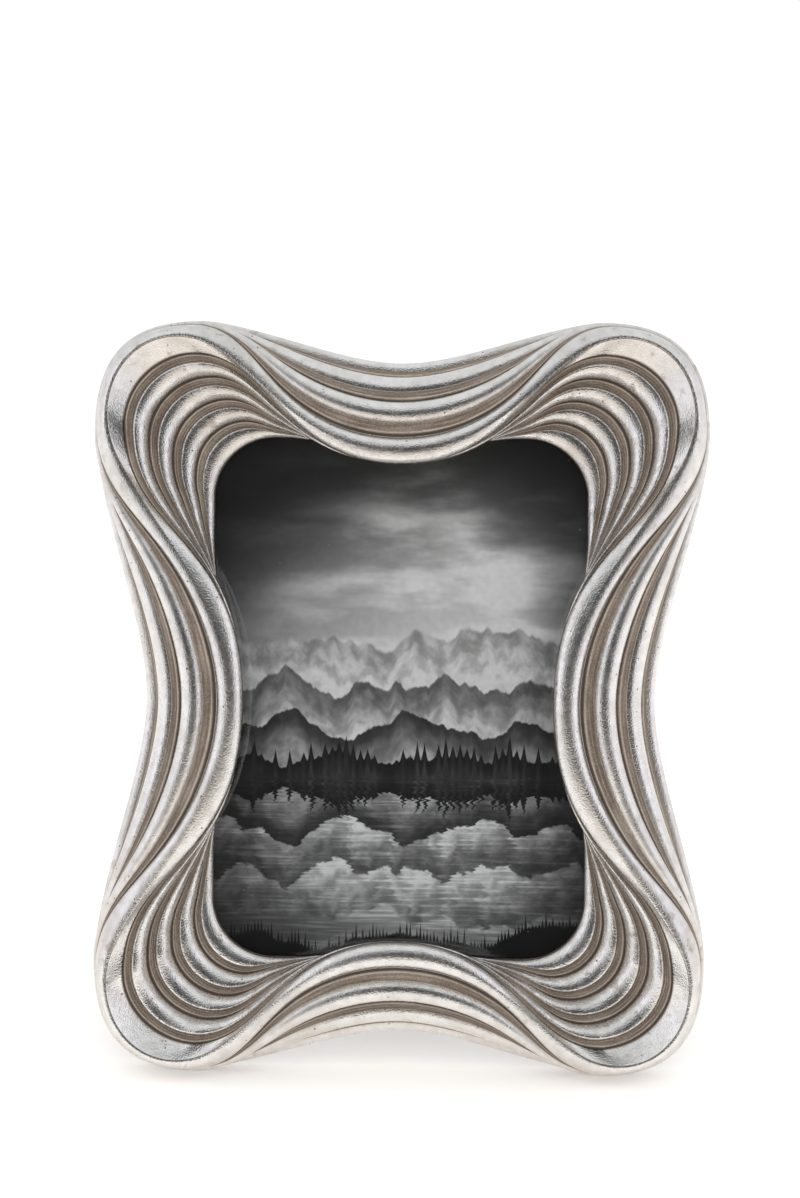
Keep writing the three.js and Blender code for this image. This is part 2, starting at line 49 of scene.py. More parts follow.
# the frame's own axes: x to the right, y to the back, z up its face, origin in the middle of its back plane
stand = dict(lean=math.radians(12), paneMiddle=-5.3 * mm)
paneLow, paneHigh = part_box("glass_pane")
toWorld = (
    Matrix.Translation((paneLow + paneHigh) / 2)
    @ Matrix.Rotation(-stand["lean"], 4, "X")
    @ Matrix.Translation((0, -stand["paneMiddle"], 0))
)
print("frame loaded, its origin at", [round(v, 4) for v in toWorld.translation])


# small helpers for node trees: a socket is linked, anything else is set as the value
def feed(tree, socket, value):
    if isinstance(value, bpy.types.NodeSocket):
        tree.links.new(value, socket)
    else:
        socket.default_value = value


def addNode(tree, kind, feeds=None, **settings):
    node = tree.nodes.new(kind)
    for key, value in settings.items():
        setattr(node, key, value)
    for key, value in (feeds or {}).items():
        feed(tree, node.inputs[key], value)
    return node


# the first output of a node, whose inputs are named here with _ for a space
def made(tree, kind, **feeds):
    spaced = {label.replace("_", " "): value for label, value in feeds.items()}
    return addNode(tree, kind, spaced).outputs[0]


def calc(tree, operation, *values):
    return addNode(tree, "ShaderNodeMath", dict(enumerate(values)), operation=operation).outputs[0]


def plus(tree, first, second):
    return calc(tree, "ADD", first, second)


def minus(tree, first, second):
    return calc(tree, "SUBTRACT", first, second)


def times(tree, first, second):
    return calc(tree, "MULTIPLY", first, second)


def timesPlus(tree, first, factor, more):
    return calc(tree, "MULTIPLY_ADD", first, factor, more)


def between(tree, low, high, factor):
    return timesPlus(tree, minus(tree, high, low), factor, low)


def smooth(tree, value, low, high):
    feeds = {"Value": value, "From Min": low, "From Max": high}
    return addNode(tree, "ShaderNodeMapRange", feeds, interpolation_type="SMOOTHSTEP").outputs["Result"]


def calcVector(tree, operation, *values):
    node = addNode(tree, "ShaderNodeVectorMath", dict(enumerate(values)), operation=operation)
    return node.outputs["Value" if operation in ("LENGTH", "DISTANCE", "DOT_PRODUCT") else "Vector"]


def scaled(tree, arrow, factor):
    feeds = {0: arrow, "Scale": factor}
    return addNode(tree, "ShaderNodeVectorMath", feeds, operation="SCALE").outputs["Vector"]


def betweenVectors(tree, low, high, factor):
    return calcVector(tree, "ADD", low, scaled(tree, calcVector(tree, "SUBTRACT", high, low), factor))


def vector(tree, **axes):
    return made(tree, "ShaderNodeCombineXYZ", **axes)


def axesOf(tree, place):
    return addNode(tree, "ShaderNodeSeparateXYZ", {0: place}).outputs


def shapeOf(tree, holder):
    return addNode(tree, "GeometryNodeObjectInfo", {"Object": holder}).outputs["Geometry"]


def stored(tree, name, kind="FLOAT"):
    node = addNode(tree, "GeometryNodeInputNamedAttribute", {"Name": name}, data_type=kind)
    return node.outputs["Attribute"]


def newTree(name, inputs, outputs, kind="GeometryNodeTree"):
    tree = bpy.data.node_groups.new(name, kind)
    for way, sockets in (("INPUT", inputs), ("OUTPUT", outputs)):
        for label, socketKind in sockets:
            tree.interface.new_socket(label, in_out=way, socket_type="NodeSocket" + socketKind)
    return tree, addNode(tree, "NodeGroupInput").outputs, addNode(tree, "NodeGroupOutput").inputs


def inScene(name, data):
    holder = bpy.data.objects.new(name, data)
    scene.collection.objects.link(holder)
    return holder


# the finished shape of an object with modifiers or of a curve, as a plain mesh object
def baked(source, name=None):
    bpy.context.view_layer.update()
    mesh = bpy.data.meshes.new_from_object(source.evaluated_get(bpy.context.evaluated_depsgraph_get()))
    name = name or source.name
    bpy.data.objects.remove(source)
    return inScene(name, mesh)


def madeByNodes(name, tree, values):
    holder = inScene(name, bpy.data.meshes.new(name))
    modifier = holder.modifiers.new("nodes", "NODES")
    modifier.node_group = tree
    for item in tree.interface.items_tree:
        if item.in_out == "INPUT" and item.name in values:
            modifier[item.identifier] = values[item.name]
    return baked(holder)


# a Bezier spline through stops of a point and its two handles, each given as x and z
def addSpline(curve, stops, closed=False):
    spline = curve.splines.new("BEZIER")
    spline.bezier_points.add(len(stops) - 1)
    spline.use_cyclic_u = closed
    for point, stop in zip(spline.bezier_points, stops):
        point.handle_left_type = point.handle_right_type = "FREE"
        point.co, point.handle_left, point.handle_right = (Vector((x, 0, z)) for x, z in stop)


# the fluted moulding: guide rails of three curves in each quarter, swept by a profile of reeds and grooves
moulding = dict(
    sightHalf=(60 * mm, 84 * mm), sightRadius=19.5 * mm,
    rebateHalf=(64.1 * mm, 89.6 * mm), rebateRadius=1.2 * mm, rebateDepth=6.6 * mm,
    lipTop=8.6 * mm, crestHeight=29 * mm, crestDrop=3.5 * mm, rimHeight=21 * mm,
    bandDrop=1.4 * mm, cornerDrop=3.2 * mm, rimDrop=3 * mm, baseEdge=1.5 * mm,
    rimShareAtWaist=0.1, rimShareAtLobe=0.6, rimSpread=4.0, scoopPowerAtWaist=0.7, scoopPowerAtLobe=1.6,
    railSteps=64, stepsPerCurve=36, weldWithin=1e-6,
    innerReeds=4, innerReedShare=0.7, innerReedArcs=(math.radians(52), math.radians(18)), innerReedLip=0.09,
    outerReedShares=(0.62, 0.62, 0.4), outerReedRises=(1, 0.62, 1.5), reedArc=math.radians(70),
    bandRise=(0, -0.02), rimRise=(0, 0.05), bandLine=0.965, rimLine=0.04, crestReach=0.12,
    reedSteps=12, lipSteps=4, bandSteps=14, rimSteps=10,
    # the painted crease shade at the reeds' ends and along the band's and rim's lines: how strong, and how
    # sharply it falls off
    innerCreases=(0.9, 0.3), outerCreases=(0.3, 0.7), creaseSharp=9, lineSharp=26,
    # across a groove: where, how high, how much rubbed, how much painted crease shade
    grooveLines=[
        (0.04, -0.02, 0, 0.95), (0.12, -0.06, 0, 1), (0.20, -0.06, 0, 0.75), (0.25, -0.01, 0.4, 0.1),
        (0.29, 0.03, 1, 0), (0.36, 0.03, 1, 0), (0.42, -0.01, 0.2, 0), (0.55, -0.02, 0, 0.1),
        (0.66, 0, 0.25, 0), (0.78, -0.02, 0, 0.1), (0.90, -0.03, 0, 0.3), (0.96, 0, 0.3, 0.1),
    ],
)
rails = dict(
    base=dict(waist=(19.9, 21.7), lobe=(38.3, 36.7), tip=(4.8, 0), runs=(25.5, 18.3, 21.4, 27, 13.1, 22)),
    crest=dict(waist=(-6.8, -4.1), lobe=(33.2, 31.6), tip=(11, 6.5), runs=(40.4, 23, 14.3, 12.7, 23, 38.2)),
    edge=dict(waist=(-11, -8.3), lobe=(28, 26.4), tip=(5.5, 4.5), runs=(54.5, 37, 12.3, 12.5, 24, 37.9)),
)
quarters = [(1, 1), (-1, 1), (-1, -1), (1, -1)]
quarterParts = 3
curveCount = quarterParts * len(quarters)


def quarterCurves(rail):
    halfX, halfZ = moulding["sightHalf"]
    waistX, lobeX, tipX = (halfX + rail[key][0] * mm for key in ("waist", "lobe", "tip"))
    waistZ, lobeZ, tipZ = (halfZ + rail[key][1] * mm for key in ("waist", "lobe", "tip"))
    sideStart, sideEnd, lobeStart, lobeEnd, topStart, topEnd = (run * mm for run in rail["runs"])
    return [
        [(waistX, 0), (waistX, sideStart), (lobeX, tipZ - sideEnd), (lobeX, tipZ)],
        [(lobeX, tipZ), (lobeX, tipZ + lobeStart), (tipX + lobeEnd, lobeZ), (tipX, lobeZ)],
        [(tipX, lobeZ), (tipX - topStart, lobeZ), (topEnd, waistZ), (0, waistZ)],
    ]


def railObject(name, rail):
    curve = bpy.data.curves.new(name, "CURVE")
    curve.dimensions = "3D"
    curve.resolution_u = moulding["railSteps"]
    forward = quarterCurves(rail)
    backward = [part[::-1] for part in forward[::-1]]
    for signX, signZ in quarters:
        for part in forward if signX * signZ > 0 else backward:
            start, leaving, arriving, end = [(signX * x, signZ * z) for x, z in part]
            addSpline(curve, [(start, start, leaving), (end, arriving, end)])
    return inScene(name, curve)


# the profile's columns: where on the face, between which ends of a reed, how far it rises, what covers it
def profileColumns():
    columns = []
    arc = moulding["reedArc"]
    soft, keen = moulding["creaseSharp"], moulding["lineSharp"]

    def column(t, ends=(0, 0), rise=(0, 0), groove=0.0, crease=(0, 0), rubbed=0.0, outline=0, height=0.0):
        columns.append(dict(
            t=t, start=ends[0], end=ends[1], riseAtWaist=rise[0], riseAtLobe=rise[1], groove=groove,
            creaseAtWaist=crease[0], creaseAtLobe=crease[1], rubbed=rubbed, outline=outline, height=height,
        ))

    def reed(start, end, rise, places, creases=(1, 1), sharp=(soft, soft)):
        for p, back in places:
            t = start + (end - start) * p
            # near its ends the reed takes painted crease shade and the rubbed tan edge; none on the crest at
            # the waists
            crease = max(0, creases[0] * (1 - p * sharp[0]), creases[1] * (1 - (1 - p) * sharp[1]))
            atWaist = 0 if abs(t - 2) < moulding["crestReach"] else crease
            column(t, (start, end), (rise[0] * back, rise[1] * back), crease=(atWaist, crease))

    def evenRound(steps, *extra):
        for p in sorted([k / steps for k in range(steps + 1)] + list(extra)):
            side = (2 * p - 1) * math.sin(arc)
            yield p, (math.sqrt(1 - side ** 2) - math.cos(arc)) / (1 - math.cos(arc))

    # a reed that faces the opening and ends outwards in a thin lip
    def lippedRound(steps, lipSteps):
        (inner, outer), lip = moulding["innerReedArcs"], moulding["innerReedLip"]
        radius = (1 - lip) / (math.sin(inner) + math.sin(outer))
        lipHeight = radius * (math.cos(outer) - math.cos(inner))
        for k in range(steps + 1):
            angle = math.asin(-math.sin(inner) + (1 - lip) / radius * k / steps)
            yield (1 - lip) * k / steps, radius * (math.cos(angle) - math.cos(inner))
        for k in range(1, lipSteps + 1):
            angle = quarterTurn * k / lipSteps
            yield 1 - lip + lip * math.sin(angle), lipHeight * math.cos(angle)

    def groove(start, end, lines):
        for p, rise, rubbed, crease in lines:
            column(start + (end - start) * p, (start, end), (rise, rise), 1.0, (crease, crease), rubbed)

    outerLines = moulding["grooveLines"]
    innerLines = [(1 - p, rise, rubbed, crease) for p, rise, rubbed, crease in outerLines[::-1]]
    column(0, outline=1, height=0, groove=1)
    column(0, outline=1, height=moulding["rebateDepth"], groove=1)
    column(0, outline=2, height=moulding["rebateDepth"], groove=1)
    innerReeds = moulding["innerReeds"]
    for i in range(innerReeds):
        start = i / innerReeds
        turn = start + moulding["innerReedShare"] / innerReeds
        places = lippedRound(moulding["reedSteps"], moulding["lipSteps"])
        reed(start, turn, (1, 1), places, moulding["innerCreases"])
        groove(turn, (i + 1) / innerReeds, innerLines)
    bandPlaces = evenRound(moulding["bandSteps"], moulding["bandLine"])
    reed(1, 2, moulding["bandRise"], bandPlaces, sharp=(soft, keen))
    waistShare = moulding["rimShareAtWaist"]
    rimPlaces = list(evenRound(moulding["rimSteps"], moulding["rimLine"]))[1:]
    reed(2, 2 + waistShare, moulding["rimRise"], rimPlaces, sharp=(keen, soft))
    pitch = (1 - waistShare) / len(moulding["outerReedShares"])
    for i, share in enumerate(moulding["outerReedShares"]):
        start = 2 + waistShare + i * pitch
        turn = start + (1 - share) * pitch
        groove(start, turn, outerLines)
        rise = math.tan(arc / 2) / 2 * moulding["outerReedRises"][i]
        reed(turn, start + pitch, (rise, rise), evenRound(moulding["reedSteps"]), moulding["outerCreases"])
    column(3, outline=3, height=0, groove=1)
    return columns


def profileObject():
    columns = profileColumns()
    mesh = bpy.data.meshes.new("profile")
    mesh.from_pydata([(c["t"], c["riseAtWaist"], 0) for c in columns], [], [])
    for key in columns[0]:
        kind, number = ("INT", int) if key == "outline" else ("FLOAT", float)
        layer = mesh.attributes.new(key, kind, "POINT")
        layer.data.foreach_set("value", [number(c[key]) for c in columns])
    return inScene("profile", mesh)


rectangleSizes = ["Half Width", "Half Height", "Radius"]


# straight in from a point onto a rectangle with round corners
def roundedRectangleTree():
    tree, given, result = newTree(
        "roundedRectangle",
        [("Point", "Vector")] + [(label, "Float") for label in rectangleSizes],
        [("Point", "Vector")],
    )
    coreX = minus(tree, given["Half Width"], given["Radius"])
    coreZ = minus(tree, given["Half Height"], given["Radius"])
    point = calcVector(tree, "ABSOLUTE", given["Point"])
    held = calcVector(tree, "MINIMUM", point, vector(tree, X=coreX, Z=coreZ))
    out = calcVector(tree, "NORMALIZE", calcVector(tree, "SUBTRACT", point, held))
    onCorner = calcVector(tree, "ADD", held, scaled(tree, out, given["Radius"]))
    signed = calcVector(tree, "MULTIPLY", onCorner, calcVector(tree, "SIGN", given["Point"]))
    feed(tree, result["Point"], signed)
    return tree


# the height of a quarter round, from 1 at its top to 0 where it stands upright
def roundFall(tree, along):
    left = minus(tree, 1.0, times(tree, along, along))
    return calc(tree, "SQRT", calc(tree, "MAXIMUM", left, 0.0))


faceSizes = [
    "Lip Top", "Crest Height", "Crest Drop", "Rim Height", "Band Drop", "Corner Drop", "Rim Drop",
    "Base Edge", "Rim Share At Waist", "Rim Share At Lobe", "Rim Spread",
    "Scoop Power At Waist", "Scoop Power At Lobe",
]


# the face without its reeds: 0 to 1 the scoop, 1 to 2 the band, 2 to 3 the outer flank
def facePointTree():
    tree, given, result = newTree(
        "facePoint",
        [(label, "Vector") for label in ("Sight", "Edge", "Crest", "Base")]
        + [(label, "Float") for label in ["Lobe", "Corner", "T"] + faceSizes],
        [("Point", "Vector")],
    )
    # heights of the scoop, the band and the flank
    lobe = given["Lobe"]
    crestTop = between(tree, given["Crest Height"], given["Rim Height"], lobe)
    waistEdge = minus(tree, given["Crest Height"], given["Crest Drop"])
    lobeEdge = minus(tree, given["Rim Height"], given["Band Drop"])
    lobeEdge = minus(tree, lobeEdge, times(tree, given["Corner Drop"], given["Corner"]))
    edgeTop = between(tree, waistEdge, lobeEdge, lobe)
    scoop, band, flank = (
        made(tree, "ShaderNodeClamp", Value=minus(tree, given["T"], start)) for start in (0.0, 1.0, 2.0)
    )
    power = between(tree, given["Scoop Power At Waist"], given["Scoop Power At Lobe"], lobe)
    scoopHeight = between(tree, given["Lip Top"], edgeTop, calc(tree, "POWER", scoop, power))
    flatness = times(tree, lobe, lobe)
    climb = between(tree, roundFall(tree, minus(tree, 1.0, band)), band, flatness)
    bandHeight = between(tree, edgeTop, crestTop, climb)
    waistShare = given["Rim Share At Waist"]
    spread = calc(tree, "POWER", lobe, given["Rim Spread"])
    rimTurn = between(tree, waistShare, given["Rim Share At Lobe"], spread)
    onRim = calc(tree, "MINIMUM", calc(tree, "DIVIDE", flank, waistShare), 1.0)
    pastRim = calc(tree, "MAXIMUM", minus(tree, flank, waistShare), 0.0)
    pastRim = calc(tree, "DIVIDE", pastRim, minus(tree, 1.0, waistShare))
    turn = timesPlus(tree, minus(tree, 1.0, rimTurn), pastRim, times(tree, rimTurn, onRim))
    angle = times(tree, turn, quarterTurn)
    flankHeight = between(tree, given["Base Edge"], crestTop, calc(tree, "COSINE", angle))
    fall = times(tree, minus(tree, 1.0, roundFall(tree, onRim)), minus(tree, 1.0, pastRim))
    drop = times(tree, given["Rim Drop"], minus(tree, 1.0, lobe))
    flankHeight = minus(tree, flankHeight, times(tree, fall, drop))
    # the plan, from the sight edge outwards
    plan = betweenVectors(tree, given["Sight"], given["Edge"], scoop)
    bandStep = scaled(tree, calcVector(tree, "SUBTRACT", given["Crest"], given["Edge"]), band)
    flankStep = calcVector(tree, "SUBTRACT", given["Base"], given["Crest"])
    flankStep = scaled(tree, flankStep, calc(tree, "SINE", angle))
    plan = calcVector(tree, "ADD", calcVector(tree, "ADD", plan, bandStep), flankStep)
    height = plus(tree, scoopHeight, minus(tree, bandHeight, edgeTop))
    height = plus(tree, height, minus(tree, flankHeight, crestTop))
    up = vector(tree, Y=times(tree, height, -1.0))
    feed(tree, result["Point"], calcVector(tree, "ADD", plan, up))
    return tree


def mouldingTree():
    railNames = ["Edge", "Crest", "Base"]
    outlineSizes = [f"{outline} {size}" for outline in ("Sight", "Rebate") for size in rectangleSizes]
    tree, given, result = newTree(
        "flutedMoulding",
        [(label + " Rail", "Object") for label in railNames]
        + [("Profile", "Object"), ("Steps", "Int"), ("Material", "Material")]
        + [(label, "Float") for label in outlineSizes + faceSizes],
        [("Geometry", "Geometry")],
    )
    # a grid with rows along the rails and columns across the profile
    profile = shapeOf(tree, given["Profile"])
    counts = addNode(tree, "GeometryNodeAttributeDomainSize", {"Geometry": profile}).outputs
    columnCount = counts["Point Count"]
    rowCount = times(tree, given["Steps"], float(curveCount))
    rowPoints = plus(tree, rowCount, 1.0)
    shape = made(
        tree, "GeometryNodeMeshGrid", Size_X=1.0, Size_Y=1.0, Vertices_X=rowPoints, Vertices_Y=columnCount
    )
    place = axesOf(tree, made(tree, "GeometryNodeInputPosition"))
    station = calc(tree, "ROUND", times(tree, plus(tree, place["X"], 0.5), rowCount))
    column = times(tree, plus(tree, place["Y"], 0.5), minus(tree, columnCount, 1.0))
    column = calc(tree, "ROUND", column)
    curveAt = calc(tree, "DIVIDE", station, given["Steps"])
    curveIndex = calc(tree, "MINIMUM", calc(tree, "FLOOR", curveAt), curveCount - 1.0)
    along = minus(tree, curveAt, curveIndex)
    # the lobe rises along one curve of a quarter, stays along the next and falls along the last
    part = calc(tree, "MODULO", curveIndex, float(quarterParts))
    rising = times(tree, calc(tree, "LESS_THAN", part, 0.5), minus(tree, 1.0, along))
    falling = times(tree, calc(tree, "GREATER_THAN", part, 1.5), along)
    lobe = smooth(tree, minus(tree, minus(tree, 1.0, rising), falling), 0.0, 1.0)
    onLobe = calc(tree, "COMPARE", part, 1.0, 0.5)
    corner = times(tree, onLobe, calc(tree, "SINE", times(tree, along, math.pi)))
    # where the rails and the two rectangles run beside this row
    guide = {}
    for label in railNames:
        feeds = {"Curves": shapeOf(tree, given[label + " Rail"]), "Factor": along, "Curve Index": curveIndex}
        guide[label] = addNode(tree, "GeometryNodeSampleCurve", feeds, mode="FACTOR").outputs["Position"]
    rectangle = roundedRectangleTree()
    outlines = {}
    for label, rail in (("Sight", "Edge"), ("Rebate", "Base")):
        feeds = {"Point": guide[rail], **{size: given[f"{label} {size}"] for size in rectangleSizes}}
        outlines[label] = addNode(tree, "GeometryNodeGroup", feeds, node_tree=rectangle).outputs["Point"]
    faceTree = facePointTree()
    sizes = {label: given[label] for label in faceSizes}

    def facePoint(t):
        feeds = dict(Sight=outlines["Sight"], Lobe=lobe, Corner=corner, T=t, **guide, **sizes)
        return addNode(tree, "GeometryNodeGroup", feeds, node_tree=faceTree).outputs["Point"]

    def fromProfile(name, kind="FLOAT"):
        feeds = {"Geometry": profile, "Value": stored(tree, name, kind), "Index": column}
        return addNode(tree, "GeometryNodeSampleIndex", feeds, data_type=kind).outputs["Value"]

    # each column lies on the face or on one of the outlines
    height = vector(tree, Y=times(tree, fromProfile("height"), -1.0))
    choices = [facePoint(fromProfile("t"))]
    for plan in (outlines["Rebate"], outlines["Sight"], guide["Base"]):
        choices.append(calcVector(tree, "ADD", plan, height))
    chosen = {"Index": fromProfile("outline", "INT")}
    placed = addNode(tree, "GeometryNodeIndexSwitch", chosen, data_type="VECTOR")
    while len(placed.index_switch_items) < len(choices):
        placed.index_switch_items.new()
    for i, choice in enumerate(choices):
        feed(tree, placed.inputs[str(i)], choice)
    width = calcVector(tree, "DISTANCE", facePoint(fromProfile("start")), facePoint(fromProfile("end")))
    rise = between(tree, fromProfile("riseAtWaist"), fromProfile("riseAtLobe"), lobe)
    # the crease nearness feeds the painted crease shade and the rubbed tan edges
    kept = dict(
        rise=times(tree, rise, width), groove=fromProfile("groove"),
        crease=between(tree, fromProfile("creaseAtWaist"), fromProfile("creaseAtLobe"), lobe),
        rubbed=fromProfile("rubbed"), across=fromProfile("t"), lobe=lobe,
    )
    for name, value in kept.items():
        feeds = {"Geometry": shape, "Name": name, "Value": value}
        keep = addNode(tree, "GeometryNodeStoreNamedAttribute", feeds, data_type="FLOAT", domain="POINT")
        shape = keep.outputs["Geometry"]
    shape = made(tree, "GeometryNodeSetPosition", Geometry=shape, Position=placed.outputs[0])
    shape = made(tree, "GeometryNodeMergeByDistance", Geometry=shape, Distance=moulding["weldWithin"])
    # the reeds rise from the face, against its inward normal
    inward = made(tree, "GeometryNodeInputNormal")
    out = scaled(tree, inward, times(tree, stored(tree, "rise"), -1.0))
    shape = made(tree, "GeometryNodeSetPosition", Geometry=shape, Offset=out)
    shape = made(tree, "GeometryNodeSetShadeSmooth", Geometry=shape)
    shape = made(tree, "GeometryNodeRealizeInstances", Geometry=shape)
    shape = made(tree, "GeometryNodeSetMaterial", Geometry=shape, Material=given["Material"])
    feed(tree, result["Geometry"], shape)
    return tree


def closeBack(mesh):
    shell = bmesh.new()
    shell.from_mesh(mesh)
    border = [edge for edge in shell.edges if edge.is_boundary]
    for face in bmesh.ops.bridge_loops(shell, edges=border)["faces"]:
        face.material_index = 1
    bmesh.ops.recalc_face_normals(shell, faces=shell.faces)
    shell.to_mesh(mesh)
    shell.free()


def buildMoulding(material, backMaterial):
    railObjects = {name: railObject(name + "Rail", rail) for name, rail in rails.items()}
    profile = profileObject()
    values = {name.title() + " Rail": rail for name, rail in railObjects.items()}
    values.update({"Profile": profile, "Steps": moulding["stepsPerCurve"], "Material": material})
    for outline in ("sight", "rebate"):
        sizes = (*moulding[outline + "Half"], moulding[outline + "Radius"])
        values.update({f"{outline.title()} {label}": size for label, size in zip(rectangleSizes, sizes)})
    for label in faceSizes:
        first, *others = label.split()
        values[label] = moulding[first.lower() + "".join(others)]
    piece = madeByNodes("silver_moulding", mouldingTree(), values)
    for helper in (*railObjects.values(), profile):
        bpy.data.objects.remove(helper)
    piece.data.materials.clear()
    for finish in (material, backMaterial):
        piece.data.materials.append(finish)
    closeBack(piece.data)
    piece.data.transform(toWorld)
    piece.data.set_sharp_from_angle(angle=sharpAngle)
    return piece


# effects that several materials share
def grainGroup():
    tree, given, result = newTree(
        "grain",
        [("Vector", "Vector")] + [(label, "Float") for label in ("Scale", "Detail", "Low", "High")],
        [("Height", "Float"), ("Patches", "Float")],
        "ShaderNodeTree",
    )
    feeds = {label: given[label] for label in ("Vector", "Scale", "Detail")}
    height = addNode(tree, "ShaderNodeTexNoise", feeds).outputs["Fac"]
    feed(tree, result["Height"], height)
    feed(tree, result["Patches"], smooth(tree, height, given["Low"], given["High"]))
    return tree


def specksGroup():
    tree, given, result = newTree(
        "specks",
        [("Vector", "Vector"), ("Scale", "Float"), ("Size", "Float")],
        [("Specks", "Float")],
        "ShaderNodeTree",
    )
    feeds = {label: given[label] for label in ("Vector", "Scale")}
    cells = addNode(tree, "ShaderNodeTexVoronoi", feeds).outputs
    chance = addNode(tree, "ShaderNodeSeparateColor", {0: cells["Color"]}).outputs["Red"]
    # half of the cells hold a speck, of any size up to the largest
    chance = calc(tree, "MAXIMUM", timesPlus(tree, chance, 2.0, -1.0), 0.0)
    size = times(tree, chance, given["Size"])
    away = smooth(tree, cells["Distance"], times(tree, size, 0.5), plus(tree, size, 1e-4))
    feed(tree, result["Specks"], minus(tree, 1.0, away))
    return tree


grain = grainGroup()
specks = specksGroup()


def shared(tree, group, where, **values):
    return addNode(tree, "ShaderNodeGroup", {"Vector": where, **values}, node_tree=group).outputs


def finish(tree, shader, **values):
    for label, value in values.items():
        feed(tree, shader.inputs[label.replace("_", " ")], value)


def newMaterial(name, **constants):
    material = bpy.data.materials.new(name)
    material.use_nodes = True
    tree = material.node_tree
    shader = tree.nodes["Principled BSDF"]
    finish(tree, shader, **constants)
    return material, tree, shader


def mixColor(tree, first, second, factor):
    node = addNode(tree, "ShaderNodeMix", {0: factor}, data_type="RGBA")
    first, second = ((*value, 1) if isinstance(value, tuple) else value for value in (first, second))
    for socket, value in zip([socket for socket in node.inputs if socket.type == "RGBA"], (first, second)):
        feed(tree, socket, value)
    return next(socket for socket in node.outputs if socket.type == "RGBA")


def covered(tree, under, over, mask, share):
    return mixColor(tree, under, over, times(tree, mask, share))


def attribute(tree, name):
    return addNode(tree, "ShaderNodeAttribute", attribute_name=name).outputs["Fac"]


def objectPlace(tree):
    return addNode(tree, "ShaderNodeTexCoord").outputs["Object"]


def bumped(tree, shader, height, distance, strength):
    bump = addNode(tree, "ShaderNodeBump", {"Height": height, "Distance": distance, "Strength": strength})
    finish(tree, shader, Normal=bump.outputs["Normal"])


# silver leaf, rubbed and speckled, with a brown wash left in the grooves and painted shade in the creases
leafFinish = dict(
    bright=(0.83, 0.815, 0.795), worn=(0.63, 0.60, 0.56), rim=(0.66, 0.625, 0.585),
    stain=(0.40, 0.335, 0.275), speck=(0.13, 0.095, 0.07), tan=(0.66, 0.575, 0.49),
    # crease is painted shade, darkening the creases between reeds and grooves
    wash=(0.125, 0.089, 0.062), paleWash=(0.52, 0.445, 0.37), crease=(0.055, 0.042, 0.033),
    patches=dict(Scale=45.0, Detail=5.0, Low=0.45, High=0.72),
    mottle=dict(Scale=300.0, Detail=3.0, Low=0.38, High=0.68),
    fine=dict(Scale=2000.0, Detail=2.0, Low=0.4, High=0.7),
    stains=dict(Scale=210.0, Detail=6.0, Low=0.6, High=0.72),
    streaks=dict(Scale=1.0, Detail=3.0, Low=0.42, High=0.68), streaksAlong=90.0, streaksAcross=70.0,
    dots=dict(Scale=420.0, Size=0.2), dotCover=0.85, patchWear=0.5, mottleWear=0.35,
    rimFrom=2.01, rimFull=2.06, rimMottle=0.4, rimWear=0.1,
    # more of the rim tone towards the bottom of the frame
    bottomRimShare=0.55, bottomFrom=0.07, bottomFull=0.02,
    stainCover=0.15, lobeStainCover=0.45,
    lineGrain=0.8, lineRub=0.3, streakRub=0.22, fineRub=0.22, patchRub=0.2,
    scratchFrom=0.5, scratchFull=0.32, scratchCover=0.45,
    ragged=0.5, washFrom=0.25, washFull=0.75, edgeRub=0.7, edgeRubFull=0.4,
    # where the painted crease shade begins, where it is full, and how dark it gets
    creaseShadeFrom=0.2, creaseShadeFull=0.95, creaseShadeCover=0.92,
    rough=0.13, mottleRough=0.24, rimRough=0.12, washRough=0.55, washMetal=0.15,
    mottleHeight=0.5, dotDepth=0.3, patchHeight=4.0, bumpDepth=0.0002, bump=0.7,
)


